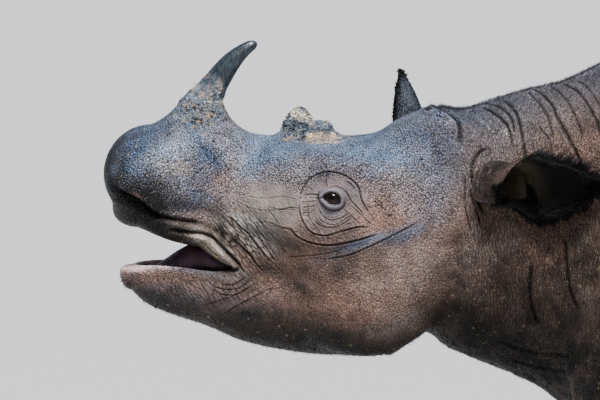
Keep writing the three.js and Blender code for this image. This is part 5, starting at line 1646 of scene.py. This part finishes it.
# ---- making the pieces
def mesh_object(name, points, faces, material, marks=None):
    """A smooth-shaded mesh object from points in millimetres; marks are numbers or colours of its points."""
    mesh = bpy.data.meshes.new(name)
    mesh.vertices.add(len(points))
    mesh.vertices.foreach_set("co", (np.asarray(points) * MM).astype(np.float32).ravel())
    mesh.loops.add(faces.size)
    mesh.loops.foreach_set("vertex_index", faces.astype(np.int32).ravel())
    mesh.polygons.add(len(faces))
    mesh.polygons.foreach_set("loop_start", np.arange(0, faces.size, faces.shape[1], dtype=np.int32))
    mesh.update(calc_edges=True)
    mesh.polygons.foreach_set("use_smooth", np.ones(len(faces), bool))
    mesh.materials.append(material)
    for mark_name, values in (marks or {}).items():
        if values.ndim == 2:
            kept = mesh.color_attributes.new(mark_name, "FLOAT_COLOR", "POINT").data
            values = np.column_stack([values, np.ones(len(values))])
            kept.foreach_set("color", values.astype(np.float32).ravel())
        else:
            kept = mesh.attributes.new(mark_name, "FLOAT", "POINT").data
            kept.foreach_set("value", values.astype(np.float32))
    made = bpy.data.objects.new(name, mesh)
    bpy.context.scene.collection.objects.link(made)
    return made


def piece(name, points, faces, material, marks, slot, *nodes):
    """A mesh object that rides on the animal's one body; nodes are those of the part that it replaces."""
    made = mesh_object(name, points, faces, material, marks)
    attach(made, "root")
    if nodes:
        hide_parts(*nodes)
    return made


def outward_of(points, faces):
    """The outward direction at each point of a mesh."""
    a, b, c = (points[faces[:, i]] for i in range(3))
    normal = np.cross(b - a, c - a)
    total = [np.bincount(faces.ravel(), np.repeat(column, 3), len(points)) for column in normal.T]
    total = np.stack(total, axis=1)
    return total / (np.linalg.norm(total, axis=1)[:, None] + EPS)


TAIL = 3  # regions of the skin: 0 is the body, 1 and 2 the ears, with 0.4 more in their hollows


def whole_skin():
    """Body, ears and tail as one mesh: points, faces, outward directions, marks, and each point's region."""
    lines = crease_lines()
    points, faces, outward = skin_mesh(lines)
    raised, deep = creased(points, outward, lines)
    pressed = nostrils(points)
    ring_raised, ring_deep = leg_rings(points)
    raised += ring_raised + wrinkled(points) - NOSTRIL_DEEP * pressed
    raised += clumps_of_mud(points) * (0.9 + 0.8 * rolling(points, 6, 47))
    raised *= ramp(0, 14, points[:, 2])  # the soles stay flat
    points = points + outward * raised[:, None]
    points[:, 2] = np.maximum(points[:, 2], 0)
    points, deep, gaps = lidded(points, np.maximum(deep, ring_deep))
    tone, own = skin_tone(points, outward, deep, gaps, pressed)
    meshes, tones = [(points, faces)], [tone]
    marks = {name: [values] for name, values in {**own, "region": np.zeros(len(points))}.items()}
    for number, side in enumerate(EAR_CURVES, 1):
        p, f, hollow, rim, share = ear_mesh(side)
        pale = 0.35 * ramp(0.2, 0.8, rolling(p, 12, 53)) * ramp(0.4, 0.2, share)
        start = edge_start(p)
        tones.append(painted(
            body_tone(p, outward_of(p, f)),
            # the ear darkens towards its tip; the far ear gets a painted bluish sky reflection, the hollow
            # painted shade at its root, and the edges are black
            ("dark", 0.25 + 0.2 * ramp(0.08, 0.2, share) + 0.3 * ramp(0.4, 0.9, share)),
            ("pale", pale),
            ("slate", (side == "right") * (0.3 + 0.15 * rolling(p, 14, 52))),
            ("pitch", hollow * ramp(0.0, 0.1, share + 0.03 * rolling(p, 20, 51))),
            ("pitch", 0.95 * ramp(0.6, 0.95, rim) * ramp(start, start + 0.08, share)),
            ("ear hollow", hollow * ramp(0.66, 0.3, share) * ramp(1.0, 0.7, rim)),
        ))
        meshes.append((p, f))
        bare = (1 - hollow) * ramp(0.9, 0.6, rim)
        own = {"wet": -1.2 * (1 - bare), "grain": 0.5 * bare, "plates": 0, "cheek": 0}
        for name, value in {**own, "region": number + 0.4 * hollow}.items():
            marks[name].append(value + np.zeros(len(p)))
    p, f = tail_mesh()
    meshes.append((p, f))
    tones.append(painted(body_tone(p, outward_of(p, f)), ("dark", 0.4 * ramp(1000, 700, p[:, 2]))))
    for name, value in {"wet": 0, "grain": 0.5, "plates": 0.5, "cheek": 0, "region": TAIL}.items():
        marks[name].append(np.full(len(p), float(value)))
    points, faces = merged(*meshes)
    marks = {name: np.concatenate(values) for name, values in marks.items()}
    region = marks.pop("region")
    marks["tone"] = np.concatenate(tones)
    return points, faces, outward_of(points, faces), marks, region


FLESH = (
    *("head", "lower_jaw", "neck", "shoulders", "barrel", "rump", "tail", "ear_left", "ear_right"),
    *[f"{leg}_{part}" for leg in STANCE for part in ("leg", "foot")],
)
skin_points, skin_faces, skin_outward, skin_marks, skin_region = whole_skin()
piece("hide", skin_points, skin_faces, hide_material(), skin_marks, "hide", *FLESH)


def lumpy_ball(centre, radii):
    """The broken lump behind the rear horn: its mesh and how pitted each point is."""
    turn, tilt = np.linspace(0, 2 * np.pi, 60, endpoint=False), np.linspace(0.02, np.pi - 0.02, 40)
    turn, tilt = np.meshgrid(turn, tilt)
    ball = np.stack([np.sin(tilt) * np.cos(turn), np.sin(tilt) * np.sin(turn), -np.cos(tilt)], axis=-1)
    points, faces = lofted(centre + ball * radii)
    out = (points - centre) / radii
    pits = ramp(0.5, 0.15, cracks(points, 8, 66))
    raised = 2.6 * rolling(points, 11, 67) + 0.9 * rolling(points, 4, 68) - 2.0 * pits - 1.8
    return points + out * raised[:, None], faces, pits


def make_hard_pieces():
    horn = horn_material()
    points, faces, crust, pits = horn_mesh(HORN_LINE, HORN_LONG, HORN_WIDE, 140, 100, 0.36, 61)
    chalky = ramp(-1048, -1022, points[:, 0]) * ramp(1225, 1205, points[:, 2])
    marks = {"crust": crust, "pits": pits, "chalky": chalky}
    piece("horn_front_keratin", points, faces, horn, marks, "horn", "horn_front")
    points, faces, crust, pits = horn_mesh(STUB_LINE, STUB_LONG, STUB_WIDE, 80, 90, 1.3, 65, lumpy=1.9)
    lump, lump_faces, lump_pits = lumpy_ball(*STUB_LUMP)
    points, faces = merged((points, faces), (lump, lump_faces))
    crust, pits = np.append(crust, np.ones(len(lump))), np.append(pits, 0.6 * lump_pits)
    marks = {"crust": crust, "pits": pits, "chalky": np.full(len(points), 0.8)}
    piece("horn_rear_keratin", points, faces, horn, marks, "horn", "horn_rear")
    nails = nail_material()
    for leg, (x0, side, sections) in STANCE.items():
        three = merged(*[nail_mesh(x0, side, sections, *shape) for shape in NAIL_SHAPES])
        nodes = [f"{leg}_nail_{place}" for place in ("inner", "middle", "outer")]
        piece(f"{leg}_toenails", *three, nails, None, "nail", *nodes)
    eye = eye_material()
    for name, side in (("left", -1), ("right", 1)):
        p, f, across, pupil = eyeball_mesh(side)
        if side < 0:
            f = f[:, ::-1]
        piece(f"eyeball_{name}", p, f, eye, {"across": across, "pupil": pupil}, "eye", f"eye_{name}")
    piece("tongue_flesh", *tongue_mesh(), tongue_material(), None, "tongue", "tongue")


make_hard_pieces()


# ---- the coat
SPIKE_SIDES = 3
BAKE_PATCH = 0.0015  # half the width of a hair's patch on the baking map


def spikes(roots, way, lift, bend, length, width):
    """The points of bent three-sided hairs; way is along the skin, lift is away from it."""
    across = np.cross(way, lift)
    across /= np.linalg.norm(across, axis=1)[:, None] + EPS
    turn = 2 * np.pi * np.arange(SPIKE_SIDES) / SPIKE_SIDES
    along = way + lift
    along /= np.linalg.norm(along, axis=1)[:, None] + EPS
    square = np.cross(across, along)
    ring = across[:, None] * np.cos(turn)[:, None] + square[:, None] * np.sin(turn)[:, None]
    middle = roots + along * (0.5 * length)[:, None]
    tip = roots + along * length[:, None] + bend * length[:, None]
    sunk = roots - along  # a hair starts 1 mm below the skin
    points = np.empty((len(roots), SPIKE_POINTS, 3))
    points[:, :3] = sunk[:, None] + ring * (width / 2)[:, None, None]
    points[:, 3:6] = (middle + 0.25 * bend * length[:, None])[:, None] + ring * (width / 3)[:, None, None]
    points[:, 6] = tip
    return points


SPIKE_FACES = np.array([
    *[(0, 1, 4), (0, 4, 3), (1, 2, 5), (1, 5, 4), (2, 0, 3), (2, 3, 5)],
    *[(3, 4, 6), (4, 5, 6), (5, 3, 6)],
])
SPIKE_POINTS = 7


# The map of the skin, in shares of its side: the legs lie lowest, then the ears and the tail, then the body.
MAP_MARGIN = 0.02
BODY_UP, BODY_WIDE, BODY_HIGH = 0.36, 0.96, 0.62
LEG_STEP, LEG_WIDE, LEG_HIGH = 0.24, 0.21, 0.17
EAR_STEP, EAR_WIDE, EAR_FACE = 0.26, 0.11, 0.12  # an ear's two faces lie EAR_FACE apart
TAIL_ALONG, TAIL_SPREAD = 0.56, 0.2
SMALL_UP, SMALL_HIGH = 0.21, 0.12  # the row of the ears and the tail
# What they show, in millimetres: where the body starts and its length, its axis, and the boxes of the ears.
BODY_FROM, BODY_LONG, BODY_AXIS = -1240, 2460, 920
LEG_AXIS = 190
TAIL_AXIS, TAIL_FOOT, TAIL_HIGH = 1196, 660, 480
EAR_BOXES = [((-610, -300, 1000), (-380, -120, 1150)), ((-760, 100, 1080), (-630, 230, 1280))]


def unwrapped(points, region):
    """Each point's place on a map of the skin: body, legs, ears and tail are rolled out side by side."""
    x, y, z = points.T
    u = MAP_MARGIN + BODY_WIDE * (x - BODY_FROM) / BODY_LONG
    v = BODY_UP + BODY_HIGH * (0.5 + np.arctan2(y, z - BODY_AXIS) / (2 * np.pi))
    for number, (x0, side, _) in enumerate(STANCE.values()):
        own = (region == 0) & (z < LEG_TOP) & (np.abs(x - x0) < LEG_AXIS) & (side * y > 0)
        turn = 0.5 + np.arctan2(y[own] - side * LEG_AXIS, x[own] - x0) / (2 * np.pi)
        u[own] = MAP_MARGIN + LEG_STEP * number + LEG_WIDE * turn
        v[own] = MAP_MARGIN + LEG_HIGH * z[own] / LEG_TOP
    for number, (low, high) in enumerate(EAR_BOXES):
        own = np.floor(region) == number + 1
        share = (points[own] - low) / np.subtract(high, low)
        # a leaf's two faces lie beside each other; the ear laid back is longest along X, the other along Y
        face = (region[own] % 1 > 0.2) * EAR_FACE
        u[own] = MAP_MARGIN + EAR_STEP * number + face + EAR_WIDE * share[:, number]
        v[own] = SMALL_UP + SMALL_HIGH * share[:, 2]
    own = region == TAIL
    turn = 0.5 + np.arctan2(y[own], x[own] - TAIL_AXIS) / (2 * np.pi)
    u[own] = TAIL_ALONG + TAIL_SPREAD * turn
    v[own] = SMALL_UP + SMALL_HIGH * (z[own] - TAIL_FOOT) / TAIL_HIGH
    return np.stack([u, v], axis=1)


class Roots:
    """Places on the skin that hairs can grow from, chosen by how many are wanted on each face."""

    def __init__(self, points, faces, outward, tone, region):
        self.points, self.faces, self.outward, self.tone, self.region = points, faces, outward, tone, region
        a, b, c = (points[faces[:, i]] for i in range(3))
        self.area = np.linalg.norm(np.cross(b - a, c - a), axis=1) / 2
        self.middle = (a + b + c) / 3
        self.face_out = outward[faces].mean(axis=1)
        self.face_region = region[faces[:, 0]]

    def chosen(self, wanted, count, rng):
        """count places, as many on each face as wanted (a number per mm2) asks for."""
        weight = np.cumsum(self.area * np.maximum(wanted, 0))
        face = np.searchsorted(weight, rng.random(count) * weight[-1])
        r, s = np.sqrt(rng.random(count)), rng.random(count)
        share = np.stack([1 - r, r * (1 - s), r * s], axis=1)[..., None]
        corner = self.faces[face]
        blend = lambda values: (values[corner] * share).sum(axis=1)
        return blend(self.points), blend(self.outward), blend(self.tone), self.face_region[face]


def lie_of_coat(points, region):
    """The way the coat lies: back along the body, down its sides and the legs, out along ears and tail."""
    x, y, z = points.T
    way = np.stack([np.ones(len(x)), 0.15 * np.sign(y), -0.45 * ramp(1250, 950, z) - 0.1], axis=1)
    leg = ramp(640, 480, z) * (region == 0) * ramp(-700, -500, x)
    way = way * (1 - leg)[:, None] + leg[:, None] * [0.25, 0, -1]
    for number, (line, *_) in enumerate(EAR_CURVES.values(), 1):
        way[np.floor(region) == number] = np.subtract(line[2], line[0])
    way[region == TAIL] = (0.1, 0, -1)
    return way / np.linalg.norm(way, axis=1)[:, None]


# Each piece of the coat: how many hairs, shortest and longest in mm, root width, how far they stand up, how
# much they bend down, and how dark they are against the hide. Real hairs are thinner: these are as thick as
# they need to be to show.
COATS = {
    "coat_face": (5500, 2.0, 5.0, 0.4, 0.5, 0.2, 0.5),
    "coat_jaw": (6500, 3.0, 8.0, 0.45, 0.7, 0.25, 0.35),
    "coat_nape": (17000, 4.0, 10.0, 0.5, 0.9, 0.1, 0.25),
    "coat_neck": (13000, 4.0, 9.0, 0.5, 0.35, 0.25, 0.4),
    "coat_ears": (22000, 12.0, 27.0, 0.85, 0.25, 0.1, 0.06),
    "coat_back": (9500, 8.0, 20.0, 0.8, 0.4, 0.3, 0.3),
    "coat_flanks": (14000, 8.0, 22.0, 0.8, 0.3, 0.35, 0.3),
    "coat_belly": (6000, 10.0, 30.0, 0.8, 0.6, 0.4, 0.3),
    "coat_legs": (10000, 5.0, 14.0, 0.7, 0.3, 0.3, 0.3),
    "coat_tail": (4000, 10.0, 60.0, 0.7, 0.3, 0.3, 0.12),
}
COAT_SEED = 500
LOCK = 7.0  # how far apart the locks on an ear's edge are
TUFT = 12.0  # hairs of one tuft are about as long as each other


def wanted_hairs(roots):
    """For each piece of the coat, how many hairs each face of the skin is to have, against the others."""
    x, y, z = roots.middle.T
    up, region = roots.face_out[:, 2], roots.face_region
    body = region == 0
    nape = ramp(0.25, 0.75, up) * ramp(-690, -650, x)
    off_lids = ramp(24, 40, np.linalg.norm(one_sided(roots.middle) - EYE, axis=1))
    out_of_mouth = (MOUTH_HOLLOW.field(x, np.abs(y), z) > 3) | (x > -900)
    head = body * ramp(-640, -670, x) * off_lids * out_of_mouth
    jaw = ramp(930, 890, z) + ramp(0.1, -0.5, up)
    neck = body * ramp(-680, -640, x) * ramp(-280, -340, x)
    trunk = body * ramp(-340, -280, x) * (z > 420)
    ears = (region >= 1) & (region < 3)
    edge, entry = ear_edge_share(roots.middle, region)
    near = np.where(region < 2, 1.4, 0.6)  # hair is thickest on the ear laid back
    return {
        "coat_face": head * ramp(-1150, -1080, x) * ramp(860, 930, z) * ramp(1180, 1150, z),
        "coat_jaw": head * np.clip(jaw, 0, 1) * ramp(970, 940, z),
        "coat_nape": body * nape * ramp(-250, -330, x) * ramp(1080, 1140, z),
        "coat_neck": neck * (1 - 0.9 * nape),
        "coat_ears": ears * near * (0.25 + 0.8 * (region % 1 > 0.2) + 10.0 * edge + 0.8 * entry),
        "coat_back": trunk * ramp(0.3, 0.8, up),
        "coat_flanks": trunk * ramp(0.8, 0.4, up) * ramp(-0.7, -0.3, up),
        "coat_belly": trunk * ramp(-0.3, -0.7, up),
        "coat_legs": body * (z < LEG_TOP) * (z > 70) * (x > -500),
        "coat_tail": (region == TAIL) * (0.25 + 3 * ramp(800, 700, z)),
    }


def make_coat(roots, material):
    wanted = wanted_hairs(roots)
    for number, (name, measures) in enumerate(COATS.items()):
        count, short, long, width, stand, droop, dark = measures
        rng = np.random.default_rng(COAT_SEED + number)
        place, out, tone, region = roots.chosen(wanted[name], count, rng)
        way = lie_of_coat(place, region)
        way = way + rng.normal(0, 0.22, way.shape)
        way -= out * (way * out).sum(axis=1)[:, None]
        way /= np.linalg.norm(way, axis=1)[:, None] + EPS
        # hairs gather in loose tufts that lean together
        lean = np.stack([rolling(place, 14, 70 + axis) for axis in range(3)], axis=1)
        length = short + (long - short) * rng.random(count) ** 1.6
        length *= 0.75 + 0.5 * scattered(np.floor(place / TUFT), number)
        standing = stand * (0.6 + 0.8 * rng.random(count))
        wider, gathered, paler = 1, 0, 0
        if name == "coat_ears":
            edge, entry = ear_edge_share(place, region)
            length *= (0.4 + 0.6 * edge + 0.25 * entry) * np.where(region < 2, 1.1, 0.28)
            way += 0.9 * edge[:, None] * ear_sideways(place, region)
            standing += 0.9 * edge
            wider = 1 + edge
            paler = (0.4 * entry * (1 - edge))[:, None]
            # the tips of an edge's hairs meet in locks
            lock = (np.floor(place / LOCK) + 0.5) * LOCK
            gathered = 0.9 * edge[:, None] * (lock - place) / length[:, None]
        if name == "coat_tail":
            length *= 0.4 + ramp(780, 690, place[:, 2])
        bend = 0.125 * lean + [0, 0, -droop * 0.5] + gathered
        thick = wider * width * (0.8 + 0.4 * rng.random(count))
        points = spikes(place, way, out * standing[:, None], bend, length, thick)
        points[..., 2] = np.maximum(points[..., 2], 1)
        colour = tone * (dark + paler) + rng.random((count, 1)) * 0.008
        faces = (SPIKE_FACES + SPIKE_POINTS * np.arange(count)[:, None, None]).reshape(-1, 3)
        marks = {"tone": np.repeat(colour, SPIKE_POINTS, axis=0)}
        made = piece(name, points.reshape(-1, 3), faces, material, marks, "hide")
        turn = np.arange(SPIKE_POINTS) * 2 * np.pi / SPIKE_POINTS
        patch = BAKE_PATCH * np.stack([np.cos(turn), np.sin(turn)], axis=1)
        uv = (unwrapped(place, region)[:, None] + patch).reshape(-1, 2)[faces.ravel()]
        made.data.uv_layers.new(name="OFBake").data.foreach_set("uv", uv.astype(np.float32).ravel())


def ear_rows(region):
    """Each ear's side, the numbers of its own points, its line and the way its hollow faces."""
    for number, (side, (line, opening, _)) in enumerate(EAR_CURVES.items(), 1):
        yield side, np.flatnonzero(np.floor(region) == number), np.array(line, float), opening


def ear_sideways(place, region):
    """The way across the ear towards the edge that a place is near."""
    across = np.zeros_like(place)
    for _, own, line, opening in ear_rows(region):
        axis = (line[2] - line[0]) / np.linalg.norm(line[2] - line[0])
        side = np.cross(axis, opening)
        side /= np.linalg.norm(side)
        off = (place[own] - line[1]) @ side
        across[own] = np.sign(off)[:, None] * side
    return across


def ear_edge_share(place, region):
    """How near a place is to an ear's edge or tip, and to the entry of its funnel, from 0 to 1."""
    edge, entry = np.zeros(len(place)), np.zeros(len(place))
    for side, own, line, _ in ear_rows(region):
        fine = spline(line, 2)
        to_line = np.linalg.norm(place[own][:, None] - fine, axis=2)
        near = to_line.argmin(axis=1)
        share = near / (len(fine) - 1)
        half = at_share(EAR_HALF[side], share)
        start = edge_start(place[own])
        edge[own] = ramp(0.6, 0.95, to_line.min(axis=1) / half) * ramp(start, start + 0.12, share)
        edge[own] = np.maximum(edge[own], ramp(0.85, 0.98, share))
        entry[own] = ramp(0.06, 0.14, share) * ramp(0.32, 0.22, share)
    return edge, entry


hair_roots = Roots(skin_points, skin_faces, skin_outward, skin_marks["tone"], skin_region)
make_coat(hair_roots, hair_material())


# ---- floor, light and camera
FLOOR_HALF = 200000.0
FLOOR_COLOUR, SKY_COLOUR = "#cbcbcb", "#edf3ff"
SUN_STRENGTH, SKY_STRENGTH = 5.0, 0.4
SUN_TURN = (32, 9, 0)  # degrees
SUN_WIDTH = 20  # degrees, so wide that its shadows are soft


def stage():
    floor_paint, tree = new_material("matt pale studio floor paint")
    shade(tree, Base_Color=FLOOR_COLOUR)
    corners = FLOOR_HALF * np.array([(-1, -1, 0), (1, -1, 0), (1, 1, 0), (-1, 1, 0)])
    mesh_object("floor", corners, np.array([[0, 1, 2, 3]]), floor_paint)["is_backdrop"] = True
    world = bpy.data.worlds.new("studio")
    bpy.context.scene.world = world
    world.use_nodes = True
    sky = world.node_tree.nodes["Background"].inputs
    feed(world.node_tree, sky["Color"], SKY_COLOUR)
    feed(world.node_tree, sky["Strength"], SKY_STRENGTH)
    sun = bpy.data.lights.new("soft overhead light", "SUN")
    sun.energy = SUN_STRENGTH
    sun.angle = math.radians(SUN_WIDTH)
    lamp = bpy.data.objects.new("soft overhead light", sun)
    lamp.rotation_euler = [math.radians(turn) for turn in SUN_TURN]
    bpy.context.scene.collection.objects.link(lamp)


stage()
# The camera in metres: it looks a little down at AIM, from CAMERA_AWAY to the animal's left.
AIM = (-0.8851, 0.0, 1.0456)
CAMERA_AWAY = 5.0
CAMERA_DOWN = math.radians(4.5)
SEEN_WIDTH = 1.02
SENSOR = 36
FAR_CLIP = 500
bpy.context.scene.view_settings.look = "AgX - Medium High Contrast"
lens = bpy.data.cameras.new("camera")
camera = bpy.data.objects.new("camera", lens)
lens.sensor_width = SENSOR
lens.lens = SENSOR * CAMERA_AWAY / math.cos(CAMERA_DOWN) / SEEN_WIDTH
lens.clip_end = FAR_CLIP
camera.location = (AIM[0], AIM[1] - CAMERA_AWAY, AIM[2] + CAMERA_AWAY * math.tan(CAMERA_DOWN))
camera.rotation_euler = (math.radians(90) - CAMERA_DOWN, 0, 0)
bpy.context.scene.collection.objects.link(camera)
bpy.context.scene.camera = camera

plain = [[[float(v) for v in corner] for corner in box] for box in (solid_box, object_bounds())]
